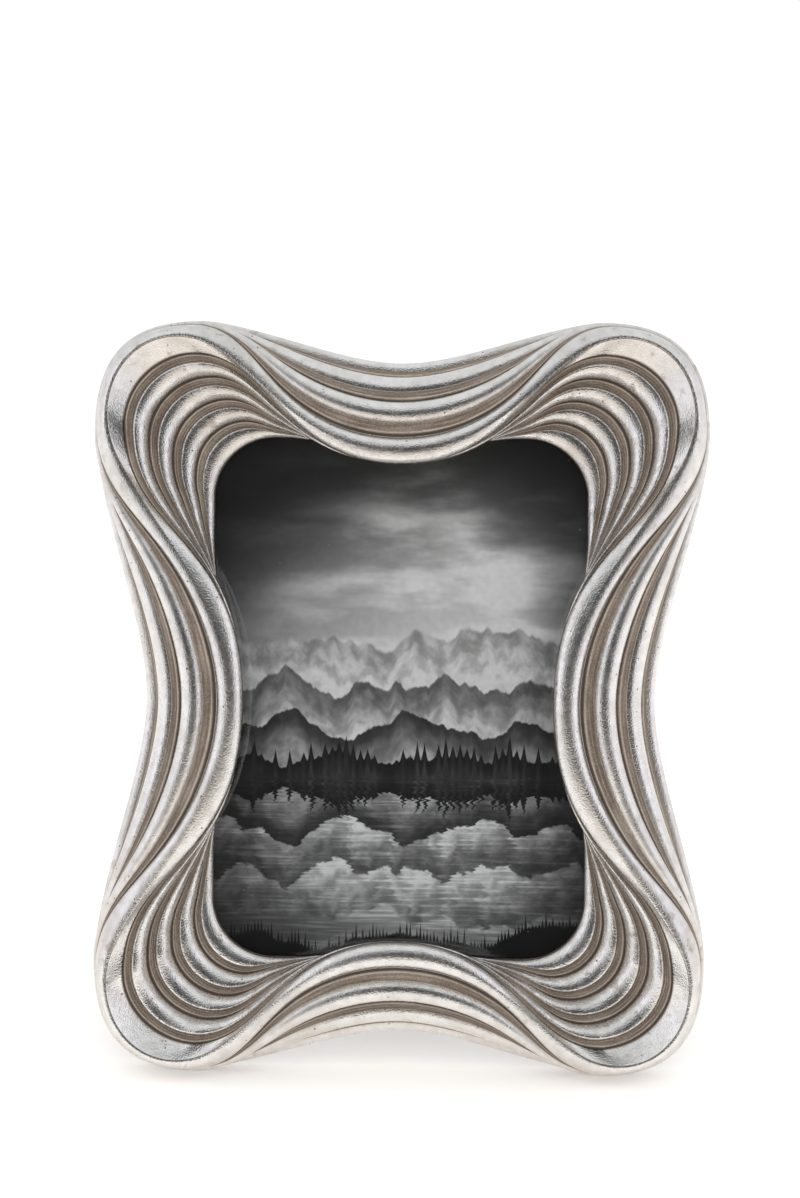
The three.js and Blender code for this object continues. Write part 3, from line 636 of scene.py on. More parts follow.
def silverLeaf():
    look = leafFinish
    material, tree, shader = newMaterial("silverLeaf")
    where = objectPlace(tree)
    axes = axesOf(tree, where)
    lobe, across, crease = (attribute(tree, name) for name in ("lobe", "across", "crease"))
    patches, mottle, fine, stains = (
        shared(tree, grain, where, **look[name]) for name in ("patches", "mottle", "fine", "stains")
    )
    dots = shared(tree, specks, where, **look["dots"])["Specks"]
    along = look["streaksAlong"]
    stretched = vector(
        tree, X=times(tree, axes["X"], along), Y=times(tree, across, look["streaksAcross"]),
        Z=times(tree, axes["Z"], along),
    )
    streaks = shared(tree, grain, stretched, **look["streaks"])
    # the leaf: worn, with a rim tone at the rims that grows towards the bottom, stained and speckled
    leaf = covered(tree, look["bright"], look["worn"], patches["Patches"], look["patchWear"])
    leaf = covered(tree, leaf, look["worn"], mottle["Patches"], look["mottleWear"])
    onRim = times(tree, lobe, smooth(tree, across, look["rimFrom"], look["rimFull"]))
    # the rim tone grows stronger towards the bottom of the frame
    nearBottom = smooth(tree, axes["Z"], look["bottomFrom"], look["bottomFull"])
    rimWear = between(tree, look["rimWear"], look["bottomRimShare"], nearBottom)
    rimWear = timesPlus(tree, mottle["Patches"], look["rimMottle"], rimWear)
    leaf = covered(tree, leaf, look["rim"], onRim, rimWear)
    stainCover = timesPlus(tree, lobe, look["lobeStainCover"], look["stainCover"])
    leaf = covered(tree, leaf, look["stain"], stains["Patches"], stainCover)
    leaf = covered(tree, leaf, look["speck"], dots, look["dotCover"])
    # the wash: rubbed pale on the lines and scratched
    lines = timesPlus(tree, fine["Height"], look["lineGrain"], look["lineRub"])
    rubbed = times(tree, attribute(tree, "rubbed"), lines)
    for name, noise in (("streakRub", streaks), ("fineRub", fine), ("patchRub", patches)):
        rubbed = timesPlus(tree, noise["Patches"], look[name], rubbed)
    wash = mixColor(tree, look["wash"], look["paleWash"], rubbed)
    scratches = smooth(tree, streaks["Height"], look["scratchFrom"], look["scratchFull"])
    wash = covered(tree, wash, look["speck"], scratches, look["scratchCover"])
    # the wash over the leaf with a ragged edge, and painted shade darkening the creases over both
    ragged = timesPlus(tree, streaks["Height"], look["ragged"], -look["ragged"] / 2)
    washed = plus(tree, attribute(tree, "groove"), ragged)
    washed = smooth(tree, washed, look["washFrom"], look["washFull"])
    edgeRub = between(tree, look["edgeRub"], 0.0, washed)
    color = covered(tree, leaf, look["tan"], smooth(tree, crease, 0.0, look["edgeRubFull"]), edgeRub)
    color = mixColor(tree, color, wash, washed)
    # painted shade: the creases darkened
    dark = smooth(tree, crease, look["creaseShadeFrom"], look["creaseShadeFull"])
    color = covered(tree, color, look["crease"], dark, look["creaseShadeCover"])
    rough = timesPlus(tree, mottle["Height"], look["mottleRough"], look["rough"])
    rough = timesPlus(tree, onRim, look["rimRough"], rough)
    finish(
        tree, shader, Base_Color=color, Metallic=between(tree, 1.0, look["washMetal"], washed),
        Roughness=between(tree, rough, look["washRough"], washed),
    )
    height = timesPlus(tree, mottle["Height"], look["mottleHeight"], fine["Height"])
    height = minus(tree, height, times(tree, dots, look["dotDepth"]))
    height = timesPlus(tree, patches["Height"], look["patchHeight"], height)
    bumped(tree, shader, height, look["bumpDepth"], look["bump"])
    return material


# the moulding's flat back: resin brushed with dark paint
backFinish = dict(
    paint=(0.056, 0.048, 0.041), stroke=(0.070, 0.060, 0.052), thin=(0.15, 0.125, 0.105),
    bubble=(0.02, 0.017, 0.015), brushed=(60.0, 700.0, 700.0),
    strokes=dict(Scale=1.0, Detail=4.0, Low=0.35, High=0.7),
    worn=dict(Scale=55.0, Detail=4.0, Low=0.5, High=0.75), bubbles=dict(Scale=330.0, Size=0.16),
    thinCover=0.4, rough=0.5, strokeRough=0.2, bumpDepth=0.00006, bump=0.5,
)


def backPaint():
    look = backFinish
    material, tree, shader = newMaterial("backPaint", Specular_IOR_Level=0.3)
    where = objectPlace(tree)
    strokes = shared(tree, grain, calcVector(tree, "MULTIPLY", where, look["brushed"]), **look["strokes"])
    worn = shared(tree, grain, where, **look["worn"])["Patches"]
    bubbles = shared(tree, specks, where, **look["bubbles"])["Specks"]
    color = mixColor(tree, look["paint"], look["stroke"], strokes["Patches"])
    color = covered(tree, color, look["thin"], worn, look["thinCover"])
    finish(
        tree, shader, Base_Color=mixColor(tree, color, look["bubble"], bubbles),
        Roughness=timesPlus(tree, strokes["Height"], look["strokeRough"], look["rough"]),
    )
    bumped(tree, shader, minus(tree, strokes["Height"], bubbles), look["bumpDepth"], look["bump"])
    return material


mouldingPiece = buildMoulding(silverLeaf(), backPaint())
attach(mouldingPiece, "frame")
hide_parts("frame_moulding")
print("moulding swept:", len(mouldingPiece.data.polygons), "faces")

# the pane: clear, and lets light through to the print
paneFinish = dict(
    clear=(0.975, 0.985, 0.98), tinted=(0.96, 0.975, 0.97),
    tint=dict(Scale=12.0, Detail=2.0, Low=0.3, High=0.7), dust=dict(Scale=260.0, Size=0.05), dustRough=0.3,
)


def paneGlass():
    look = paneFinish
    material, tree, shader = newMaterial("paneGlass", IOR=1.5, Transmission_Weight=1.0)
    where = objectPlace(tree)
    tint = shared(tree, grain, where, **look["tint"])["Patches"]
    dust = shared(tree, specks, where, **look["dust"])["Specks"]
    finish(
        tree, shader, Base_Color=mixColor(tree, look["clear"], look["tinted"], tint),
        Roughness=times(tree, dust, look["dustRough"]),
    )
    path = addNode(tree, "ShaderNodeLightPath").outputs
    clear = made(tree, "ShaderNodeBsdfTransparent")
    mix = addNode(tree, "ShaderNodeMixShader", {0: path["Is Shadow Ray"], 1: shader.outputs[0], 2: clear})
    feed(tree, tree.nodes["Material Output"].inputs["Surface"], mix.outputs[0])
    return material


# the print: a misty lake under layered hills in black and white, drawn in millimetres from the frame's middle
picture = dict(
    lakeLine=-26.0, skyTop=0.012, skyLow=0.15, skyReach=80.0, glow=(22.0, 0.0, 22.0), glowRadius=78.0,
    glowTone=0.3, cloudTone=0.05, thinCloud=0.3, cloudStretch=(0.018, 0.0, 0.06),
    clouds=dict(Scale=1.0, Detail=7.0, Low=0.42, High=0.7),
    rippleStretch=(0.05, 0.0, 0.9), ripples=dict(Scale=1.0, Detail=3.0, Low=0.45, High=0.7),
    sway=6.0, calm=0.9, rippleTone=0.5,
    rock=dict(Scale=0.22, Detail=7.0, Low=0.3, High=0.75), rockDark=0.7, rockTone=0.55,
    # painted shade of the moulding over the print's corners and edges
    corners=(1 / 66, 0.0, 1 / 92), cornerFrom=0.5, shadeFull=1.2, cornerTone=0.2,
    film=dict(Scale=0.45, Detail=2.0, Low=0.25, High=0.75), filmDark=0.93, filmTone=0.1,
    contrast=1.55, gain=10.5, white=0.95, shoulder=0.5, ridgeDetail=5.0, spire=1.4,
    hills=[
        dict(base=20.0, swing=17.0, width=34.0, seed=3.7, tone=0.15, mist=0.30, depth=26.0, soft=0.9),
        dict(base=4.0, swing=15.0, width=26.0, seed=9.1, tone=0.075, mist=0.24, depth=20.0, soft=0.6),
        dict(base=-9.0, swing=10.0, width=21.0, seed=15.3, tone=0.03, mist=0.15, depth=15.0, soft=0.4),
        dict(
            base=-20.0, swing=6.0, width=17.0, seed=28.6, tone=0.009, mist=0.03, depth=8.0, soft=0.3,
            trees=7.0, spacing=2.3,
        ),
    ],
    shore=dict(
        base=-78.0, swing=11.0, width=44.0, seed=41.2, tone=0.006, mist=0.006, depth=8.0, soft=0.3,
        trees=6.0, spacing=1.1,
    ),
)


def ridgeOver(tree, x, hill):
    spot = timesPlus(tree, x, 1 / hill["width"], hill["seed"])
    feeds = {"W": spot, "Scale": 1.0, "Detail": picture["ridgeDetail"]}
    swell = addNode(tree, "ShaderNodeTexNoise", feeds, noise_dimensions="1D").outputs["Fac"]
    ridge = timesPlus(tree, swell, 2 * hill["swing"], hill["base"] - hill["swing"])
    if "trees" not in hill:
        return ridge
    row = calc(tree, "DIVIDE", x, hill["spacing"])
    feeds = {"W": calc(tree, "FLOOR", row)}
    tall = addNode(tree, "ShaderNodeTexWhiteNoise", feeds, noise_dimensions="1D").outputs["Value"]
    aside = calc(tree, "ABSOLUTE", minus(tree, calc(tree, "FRACT", row), 0.5))
    spire = calc(tree, "POWER", timesPlus(tree, aside, -2.0, 1.0), picture["spire"])
    return timesPlus(tree, times(tree, spire, tall), hill["trees"], ridge)


def withHill(tree, tone, x, z, hill):
    under = minus(tree, ridgeOver(tree, x, hill), z)
    slope = between(tree, hill["tone"], hill["mist"], smooth(tree, under, 0.0, hill["depth"]))
    rockPlace = vector(tree, X=x, Y=under, Z=hill["seed"])
    rock = shared(tree, grain, rockPlace, **picture["rock"])["Patches"]
    slope = times(tree, slope, timesPlus(tree, rock, picture["rockTone"], picture["rockDark"]))
    return between(tree, tone, slope, smooth(tree, under, -hill["soft"], hill["soft"]))


def lakePrint():
    material, tree, shader = newMaterial("lakePrint", Roughness=0.42, Specular_IOR_Level=0.35)
    feeds = {
        "Vector": objectPlace(tree), "Location": toWorld.translation, "Rotation": (-stand["lean"], 0, 0),
        "Scale": (mm, mm, mm),
    }
    sheet = addNode(tree, "ShaderNodeMapping", feeds, vector_type="TEXTURE").outputs[0]
    axes = axesOf(tree, sheet)
    lakeLine = picture["lakeLine"]
    overLake = minus(tree, axes["Z"], lakeLine)
    onLake = calc(tree, "LESS_THAN", overLake, 0.0)
    ripplePlace = calcVector(tree, "MULTIPLY", sheet, picture["rippleStretch"])
    ripples = shared(tree, grain, ripplePlace, **picture["ripples"])
    sway = timesPlus(tree, ripples["Height"], picture["sway"], -picture["sway"] / 2)
    # on the lake everything over it is seen again, upside down and swaying
    x = plus(tree, axes["X"], times(tree, sway, onLake))
    z = plus(tree, calc(tree, "ABSOLUTE", overLake), lakeLine)
    place = vector(tree, X=x, Z=z)
    # the sky and its clouds, lit round the glow
    tone = between(tree, picture["skyLow"], picture["skyTop"], smooth(tree, z, lakeLine, picture["skyReach"]))
    cloudPlace = calcVector(tree, "MULTIPLY", place, picture["cloudStretch"])
    clouds = shared(tree, grain, cloudPlace, **picture["clouds"])["Patches"]
    clouds = timesPlus(tree, clouds, 1 - picture["thinCloud"], picture["thinCloud"])
    glow = smooth(tree, calcVector(tree, "DISTANCE", place, picture["glow"]), picture["glowRadius"], 0.0)
    lit = timesPlus(tree, glow, picture["glowTone"], picture["cloudTone"])
    tone = timesPlus(tree, clouds, lit, tone)
    # the hills, the ripples on the lake and the near shore
    for hill in picture["hills"]:
        tone = withHill(tree, tone, x, z, hill)
    calm = times(tree, tone, timesPlus(tree, ripples["Patches"], picture["rippleTone"], picture["calm"]))
    tone = between(tree, tone, calm, onLake)
    tone = withHill(tree, tone, axes["X"], axes["Z"], picture["shore"])
    # painted shade of the moulding, darkening the print towards its corners; then printed: contrast, paper
    # white and film grain
    out = calcVector(tree, "LENGTH", calcVector(tree, "MULTIPLY", sheet, picture["corners"]))
    corner = smooth(tree, out, picture["cornerFrom"], picture["shadeFull"])
    tone = times(tree, tone, between(tree, 1.0, picture["cornerTone"], corner))
    tone = times(tree, calc(tree, "POWER", tone, picture["contrast"]), picture["gain"])
    tone = calc(tree, "SMOOTH_MIN", tone, picture["white"], picture["shoulder"])
    film = shared(tree, grain, sheet, **picture["film"])["Patches"]
    tone = times(tree, tone, timesPlus(tree, film, picture["filmTone"], picture["filmDark"]))
    grey = addNode(tree, "ShaderNodeCombineColor", {0: tone, 1: tone, 2: tone}).outputs[0]
    finish(tree, shader, Base_Color=grey)
    return material


def dress(material, *names):
    for name in names:
        mesh = nodes[name].data
        mesh.materials.clear()
        mesh.materials.append(material)


dress(paneGlass(), "glass_pane")
dress(lakePrint(), "photo_print")
print("pane and print dressed")

# black flock on raw pressed board
feltFinish = dict(
    deep=(0.010, 0.010, 0.011), tip=(0.032, 0.032, 0.034), brushed=(0.045, 0.045, 0.047),
    lint=(0.22, 0.21, 0.20), nap=dict(Scale=2200.0, Detail=3.0, Low=0.35, High=0.7),
    strokes=dict(Scale=30.0, Detail=3.0, Low=0.4, High=0.7), bits=dict(Scale=170.0, Size=0.06),
    brushedCover=0.4, lintCover=0.6, bumpDepth=0.0004, bump=0.8,
)


def blackFelt():
    look = feltFinish
    material, tree, shader = newMaterial(
        "blackFelt", Roughness=1.0, Specular_IOR_Level=0.15, Sheen_Weight=0.25
    )
    where = objectPlace(tree)
    nap, strokes = (shared(tree, grain, where, **look[name]) for name in ("nap", "strokes"))
    bits = shared(tree, specks, where, **look["bits"])["Specks"]
    color = mixColor(tree, look["deep"], look["tip"], nap["Patches"])
    color = covered(tree, color, look["brushed"], strokes["Patches"], look["brushedCover"])
    finish(tree, shader, Base_Color=covered(tree, color, look["lint"], bits, look["lintCover"]))
    bumped(tree, shader, nap["Height"], look["bumpDepth"], look["bump"])
    return material


boardFinish = dict(
    dark=(0.30, 0.195, 0.115), light=(0.44, 0.31, 0.195), cloud=(0.26, 0.165, 0.095),
    fleck=(0.12, 0.07, 0.04), fibres=dict(Scale=900.0, Detail=4.0, Low=0.35, High=0.7),
    clouds=dict(Scale=60.0, Detail=3.0, Low=0.4, High=0.7), flecks=dict(Scale=480.0, Size=0.22),
    cloudCover=0.5, fleckCover=0.6, rough=0.72, fibreRough=0.2, bumpDepth=0.0001, bump=0.5,
)


def pressedBoard():
    look = boardFinish
    material, tree, shader = newMaterial("pressedBoard", Specular_IOR_Level=0.25)
    where = objectPlace(tree)
    fibres, clouds = (shared(tree, grain, where, **look[name]) for name in ("fibres", "clouds"))
    flecks = shared(tree, specks, where, **look["flecks"])["Specks"]
    color = mixColor(tree, look["dark"], look["light"], fibres["Patches"])
    color = covered(tree, color, look["cloud"], clouds["Patches"], look["cloudCover"])
    finish(
        tree, shader, Base_Color=covered(tree, color, look["fleck"], flecks, look["fleckCover"]),
        Roughness=timesPlus(tree, fibres["Height"], look["fibreRough"], look["rough"]),
    )
    bumped(tree, shader, fibres["Height"], look["bumpDepth"], look["bump"])
    return material


# zinc plated steel: drawn one way, with a dull bloom and small pits
steelFinish = dict(
    bright=(0.63, 0.64, 0.66), dull=(0.50, 0.51, 0.53), pit=(0.22, 0.21, 0.20),
    bloom=dict(Scale=420.0, Detail=4.0, Low=0.4, High=0.7), drawnOut=(150.0, 3800.0, 3800.0),
    drawn=dict(Scale=1.0, Detail=2.0, Low=0.3, High=0.7), pits=dict(Scale=1300.0, Size=0.16),
    pitCover=0.7, rough=0.2, drawnRough=0.16, dullRough=0.1, bumpDepth=0.00002, bump=0.4,
)


def zincSteel():
    look = steelFinish
    material, tree, shader = newMaterial("zincSteel", Metallic=1.0)
    where = objectPlace(tree)
    bloom = shared(tree, grain, where, **look["bloom"])["Patches"]
    stretched = calcVector(tree, "MULTIPLY", where, look["drawnOut"])
    drawn = shared(tree, grain, stretched, **look["drawn"])["Height"]
    pits = shared(tree, specks, where, **look["pits"])["Specks"]
    color = mixColor(tree, look["bright"], look["dull"], bloom)
    rough = timesPlus(tree, drawn, look["drawnRough"], look["rough"])
    finish(
        tree, shader, Base_Color=covered(tree, color, look["pit"], pits, look["pitCover"]),
        Roughness=timesPlus(tree, bloom, look["dullRough"], rough),
    )
    bumped(tree, shader, drawn, look["bumpDepth"], look["bump"])
    return material


felt = blackFelt()
board = pressedBoard()
steel = zincSteel()
dress(felt, "backing_felt", "leg_felt")
dress(board, "backing_board", "leg_board")

# hardware on the back, in millimetres: the frame's axes for the fixed pieces, the pin's for the leg
hardware = dict(
    pin=(0, 2.4, 38), hanger=(0, 2.4, 81), legOpen=math.radians(24), barrel=2.2, sheet=0.6, sheetEdge=0.12,
    leafGap=0.3, cornerRound=2.5, cornerSteps=6, rollTurn=math.radians(300), rollSteps=28,
    edgeSteps=2, edgeAngle=math.radians(50),
)
onFrame = toWorld @ Matrix.Scale(mm, 4)
onPin = onFrame @ Matrix.Translation(hardware["pin"])
onLeg = onPin @ Matrix.Rotation(hardware["legOpen"], 4, "X")
onHanger = onFrame @ Matrix.Translation(hardware["hanger"])
onRing = onHanger @ Matrix.Rotation(stand["lean"], 4, "X")


def newPiece(name, points, faces):
    piece = inScene(name, bpy.data.meshes.new(name))
    piece.data.from_pydata(points, [], faces)
    return piece


def settle(piece, place, body, *replaced):
    mesh = piece.data
    mesh.transform(place)
    shell = bmesh.new()
    shell.from_mesh(mesh)
    bmesh.ops.recalc_face_normals(shell, faces=shell.faces)
    shell.to_mesh(mesh)
    shell.free()
    mesh.shade_smooth()
    mesh.set_sharp_from_angle(angle=sharpAngle)
    mesh.materials.clear()
    mesh.materials.append(steel)
    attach(piece, body)
    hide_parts(*replaced)


def fromRings(name, rings, closed):
    count = len(rings[0])
    faces = []
    for i in range(len(rings) if closed else len(rings) - 1):
        below, above = i * count, (i + 1) % len(rings) * count
        for k in range(count):
            after = (k + 1) % count
            faces.append((below + k, below + after, above + after, above + k))
    if not closed:
        faces += [tuple(range(count)), tuple(range((len(rings) - 1) * count, len(rings) * count))]
    return newPiece(name, [point for ring in rings for point in ring], faces)


# screws and rivets: a pan head on a shank, set on each place and turned a little from the last
fastenerSizes = [
    "Head Radius", "Head Height", "Shank Radius", "Shank Length", "Slot Width", "Slot Length", "Slot Depth",
]
fastener = dict(headSides=40, headRings=28, crown=3.0, shankSides=24, turn=0.7)


def fastenerTree():
    tree, given, result = newTree(
        "fasteners",
        [("Places", "Object"), ("Crossed", "Bool"), ("Material", "Material")]
        + [(label, "Float") for label in fastenerSizes],
        [("Geometry", "Geometry")],
    )
    sides, rings = fastener["headSides"], fastener["headRings"]
    ball = made(tree, "GeometryNodeMeshUVSphere", Segments=sides, Rings=rings, Radius=1.0)
    ballPlace = made(tree, "GeometryNodeInputPosition")
    axes = axesOf(tree, ballPlace)
    away = calcVector(tree, "LENGTH", calcVector(tree, "MULTIPLY", ballPlace, (1.0, 1.0, 0.0)))
    crown = calc(tree, "MAXIMUM", minus(tree, 1.0, calc(tree, "POWER", away, fastener["crown"])), 0.0)
    crown = calc(tree, "POWER", crown, 1 / fastener["crown"])
    crown = times(tree, crown, calc(tree, "GREATER_THAN", axes["Z"], 0.0))
    radius = given["Head Radius"]
    headPlace = vector(
        tree, X=times(tree, axes["X"], radius), Y=times(tree, crown, given["Head Height"]),
        Z=times(tree, axes["Y"], times(tree, radius, -1.0)),
    )
    head = made(tree, "GeometryNodeSetPosition", Geometry=ball, Position=headPlace)
    deep = times(tree, given["Slot Depth"], 2.0)
    cross = addNode(tree, "GeometryNodeMeshBoolean", operation="UNION", solver="EXACT")
    for x, z in (("Slot Width", "Slot Length"), ("Slot Length", "Slot Width")):
        slot = made(tree, "GeometryNodeMeshCube", Size=vector(tree, X=given[x], Y=deep, Z=given[z]))
        tree.links.new(slot, cross.inputs["Mesh 2"])
    top = vector(tree, Y=given["Head Height"])
    raised = made(tree, "GeometryNodeTransform", Geometry=cross.outputs["Mesh"], Translation=top)
    cut = addNode(tree, "GeometryNodeMeshBoolean", {"Mesh 1": head}, operation="DIFFERENCE", solver="EXACT")
    tree.links.new(raised, cut.inputs["Mesh 2"])
    feeds = {"Switch": given["Crossed"], "False": head, "True": cut.outputs["Mesh"]}
    head = addNode(tree, "GeometryNodeSwitch", feeds, input_type="GEOMETRY").outputs[0]
    length, thick = given["Shank Length"], given["Shank Radius"]
    rod = made(tree, "GeometryNodeMeshCylinder", Vertices=fastener["shankSides"], Radius=thick, Depth=length)
    middle = vector(tree, Y=times(tree, length, -0.5))
    upright = (quarterTurn, 0, 0)
    shank = made(tree, "GeometryNodeTransform", Geometry=rod, Translation=middle, Rotation=upright)
    whole = addNode(tree, "GeometryNodeJoinGeometry")
    for part in (head, shank):
        tree.links.new(part, whole.inputs["Geometry"])
    places = shapeOf(tree, given["Places"])
    turn = vector(tree, Y=times(tree, made(tree, "GeometryNodeInputIndex"), fastener["turn"]))
    shape = made(
        tree, "GeometryNodeInstanceOnPoints", Points=places, Instance=whole.outputs[0], Rotation=turn
    )
    shape = made(tree, "GeometryNodeRealizeInstances", Geometry=shape)
    shape = made(tree, "GeometryNodeSetMaterial", Geometry=shape, Material=given["Material"])
    feed(tree, result["Geometry"], shape)
    return tree


screw = dict(
    headRadius=3.2, headHeight=1.4, shankRadius=1.2, shankLength=10.3,
    slotWidth=0.75, slotLength=3.6, slotDepth=0.9,
)
rivet = dict(
    headRadius=2.4, headHeight=0.9, shankRadius=1.2, shankLength=4.5,
    slotWidth=0, slotLength=0, slotDepth=0,
)
seats = dict(screws=1.6, boardRivets=1.1, legRivets=2.5, hingeRivets=(8, 11.5), hangerRivets=(74.5, 67.5))
button = dict(
    pivot=(70.1, 42), eye=4.5, tip=3.2, reach=12, hole=1.5, low=0.3, high=1.3, edge=0.3,
    edgeSteps=4, arcSteps=40,
)
fasteners = fastenerTree()


def fastened(name, kind, places, place, body, *replaced):
    seatPoints = newPiece("seats", places, [])
    values = {"Places": seatPoints, "Crossed": kind["slotDepth"] > 0, "Material": steel}
    for label in fastenerSizes:
        first, second = label.split()
        values[label] = kind[first.lower() + second]
    piece = madeByNodes(name, fasteners, values)
    bpy.data.objects.remove(seatPoints)
    settle(piece, place, body, *replaced)


def pivotOf(nodeName):
    middle = onFrame.inverted() @ (sum(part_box(nodeName), Vector()) / 2)
    x, z = button["pivot"]
    return math.copysign(x, middle.x), math.copysign(z, middle.z)


def buttonOutline(inset):
    eye, tip = button["eye"] - inset, button["tip"] - inset
    tipAt = button["reach"] - button["tip"]
    turn = math.acos((eye - tip) / tipAt)
    steps = button["arcSteps"]
    points = []
    for x, radius, start, end in ((0, eye, turn, 2 * math.pi - turn), (tipAt, tip, -turn, turn)):
        for k in range(steps + 1):
            angle = start + (end - start) * k / steps
            points.append((x + radius * math.cos(angle), radius * math.sin(angle)))
    return points


def turnButton(i):
    outside = buttonOutline(0)
    hole = [Vector(point).normalized() * button["hole"] for point in outside]
    profile = [(button["low"], hole), (button["low"], outside)]
    for k in range(button["edgeSteps"] + 1):
        angle = quarterTurn * k / button["edgeSteps"]
        height = button["high"] - button["edge"] * (1 - math.sin(angle))
        profile.append((height, buttonOutline(button["edge"] * (1 - math.cos(angle)))))
    profile.append((button["high"], hole))
    x, z = pivotOf(f"turn_screw_{i}")
    way = -math.copysign(1, x)
    rings = [[(x + way * u, height, z + v) for u, v in ring] for height, ring in profile]
    settle(fromRings(f"turn_button_plate_{i}", rings, True), onFrame, f"button_{i}", f"turn_button_{i}")


buttonNumbers = range(1, 5)
for i in buttonNumbers:
    turnButton(i)
screwNodes = [f"turn_screw_{i}" for i in buttonNumbers]
screwPlaces = [(x, seats["screws"], z) for x, z in map(pivotOf, screwNodes)]
fastened("cross_screws", screw, screwPlaces, onFrame, "frame", *screwNodes)
rivetX, rivetZ = seats["hingeRivets"]
boardPlaces = [(side * rivetX, seats["boardRivets"], hardware["pin"][2] + rivetZ) for side in (-1, 1)]
boardPlaces += [(0, seats["boardRivets"], z) for z in seats["hangerRivets"]]
boardNodes = ["hinge_rivet_1", "hinge_rivet_2", "hanger_rivet_1", "hanger_rivet_2"]
fastened("board_rivets", rivet, boardPlaces, onFrame, "frame", *boardNodes)
legPlaces = [(side * rivetX, seats["legRivets"], -rivetZ) for side in (-1, 1)]
fastened("leg_rivets", rivet, legPlaces, onLeg, "leg", "hinge_rivet_3", "hinge_rivet_4")
print("buttons, screws and rivets made")


# a sheet leaf: flat on one face of the pin, its strips rolled round it; flaps are further bits of the sheet
def rolledLeaf(name, halfWidth, length, face, way, spans, place, body, node, flaps=()):
    middle = hardware["barrel"] - hardware["sheet"] / 2
    start = hardware["barrel"] + hardware["leafGap"]
    rows = [(face * middle, way * z) for z in (length, start, 0)]
    for k in range(1, hardware["rollSteps"] + 1):
        angle = hardware["rollTurn"] * k / hardware["rollSteps"]
        rows.append((face * middle * math.cos(angle), -way * middle * math.sin(angle)))
    columns = sorted({-halfWidth, halfWidth, *(x for span in spans for x in span)})
    sheet = bmesh.new()
    grid = [[sheet.verts.new((x, y, z)) for x in columns] for y, z in rows]
    for i in range(len(rows) - 1):
        for j in range(len(columns) - 1):
            if i == 0 or any(low <= columns[j] < high for low, high in spans):
                sheet.faces.new((grid[i][j], grid[i][j + 1], grid[i + 1][j + 1], grid[i + 1][j]))
    bmesh.ops.bevel(
        sheet, geom=[grid[0][0], grid[0][-1]], offset=hardware["cornerRound"],
        segments=hardware["cornerSteps"], profile=0.5, affect="VERTICES",
    )
    for flap in flaps:
        sheet.faces.new([sheet.verts.new(point) for point in flap])
    bmesh.ops.delete(sheet, geom=[vert for vert in sheet.verts if not vert.link_faces], context="VERTS")
    piece = newPiece(name, [], [])
    sheet.to_mesh(piece.data)
    sheet.free()
    thick = piece.modifiers.new("sheet", "SOLIDIFY")
    thick.thickness, thick.offset, thick.use_even_offset = hardware["sheet"], 0, True
    edge = piece.modifiers.new("edge", "BEVEL")
    edge.width, edge.segments = hardware["sheetEdge"], hardware["edgeSteps"]
    edge.limit_method, edge.angle_limit = "ANGLE", hardware["edgeAngle"]
    settle(baked(piece), place, body, node)


leaf = dict(halfWidth=13, length=19, outerKnuckle=5, knuckle=4.7, stopFrom=1.2, stopTo=8, stopMiddle=-1.0)
wide, outer, inner = leaf["halfWidth"], leaf["outerKnuckle"], leaf["knuckle"]
stopLow, stopHigh = leaf["stopFrom"], leaf["stopTo"]
stopTurn = Matrix.Rotation(-hardware["legOpen"], 4, "X")
stopEnds = [(-inner, stopLow), (inner, stopLow), (inner, stopHigh), (-inner, stopHigh)]
stop = [stopTurn @ Vector((x, leaf["stopMiddle"], z)) for x, z in stopEnds]
knuckles = [(-wide, -outer), (outer, wide)]
rolledLeaf("back_leaf", wide, leaf["length"], -1, 1, knuckles, onPin, "frame", "hinge_leaf_back")
rolledLeaf("leg_leaf", wide, leaf["length"], 1, -1, [(-inner, inner)], onLeg, "leg", "hinge_leaf_leg", [stop])
strap = dict(halfWidth=4.5, length=19)
across = strap["halfWidth"]
rolledLeaf("strap", across, strap["length"], -1, -1, [(-across, across)], onHanger, "frame", "hanger_strap")

# the hinge pin: a drawn rod with domed ends
pin = dict(radius=0.9, halfLength=13.8, dome=0.5, domeSteps=4, sides=32)


def hingePin():
    profile = []
    for k in range(pin["domeSteps"] + 1):
        angle = quarterTurn * k / pin["domeSteps"]
        inset = pin["dome"] * (1 - math.cos(angle))
        profile.append((pin["halfLength"] - pin["dome"] * (1 - math.sin(angle)), pin["radius"] - inset))
    profile = [(-x, radius) for x, radius in profile[::-1]] + profile
    turns = [2 * math.pi * k / pin["sides"] for k in range(pin["sides"])]
    circle = [(math.cos(turn), math.sin(turn)) for turn in turns]
    rings = [[(x, radius * y, radius * z) for y, z in circle] for x, radius in profile]
    settle(fromRings("pin", rings, False), onLeg, "leg", "hinge_pin")


hingePin()

# the hanger ring: wire bent to a bar on top and a half circle below
wire = dict(radius=0.8, halfWidth=8, drop=5, sides=8, steps=20)


def hangerRing():
    curve = bpy.data.curves.new("wire", "CURVE")
    curve.dimensions = "3D"
    curve.bevel_depth, curve.bevel_resolution = wire["radius"], wire["sides"]
    curve.resolution_u = wire["steps"]
    half, drop = wire["halfWidth"], wire["drop"]
    bend = half / 3
    low = -drop - 4 / 3 * half  # handles of this length bend nearly to a half circle
    pull = bend * 2 / 3
    stops = [
        ((bend - half, 0), (bend - half - pull, 0), (half - bend, 0)),
        ((half - bend, 0), (0, 0), (half - bend + pull, 0)),
        ((half, -bend), (half, pull - bend), (half, -drop)),
        ((half, -drop), (half, -bend), (half, low)),
        ((-half, -drop), (-half, low), (-half, -bend)),
        ((-half, -bend), (-half, -drop), (-half, pull - bend)),
    ]
    addSpline(curve, stops, closed=True)
    settle(baked(inScene("bent", curve), "ring_wire"), onRing, "ring", "hanger_ring")


hangerRing()
print("hinge, strap and ring made")

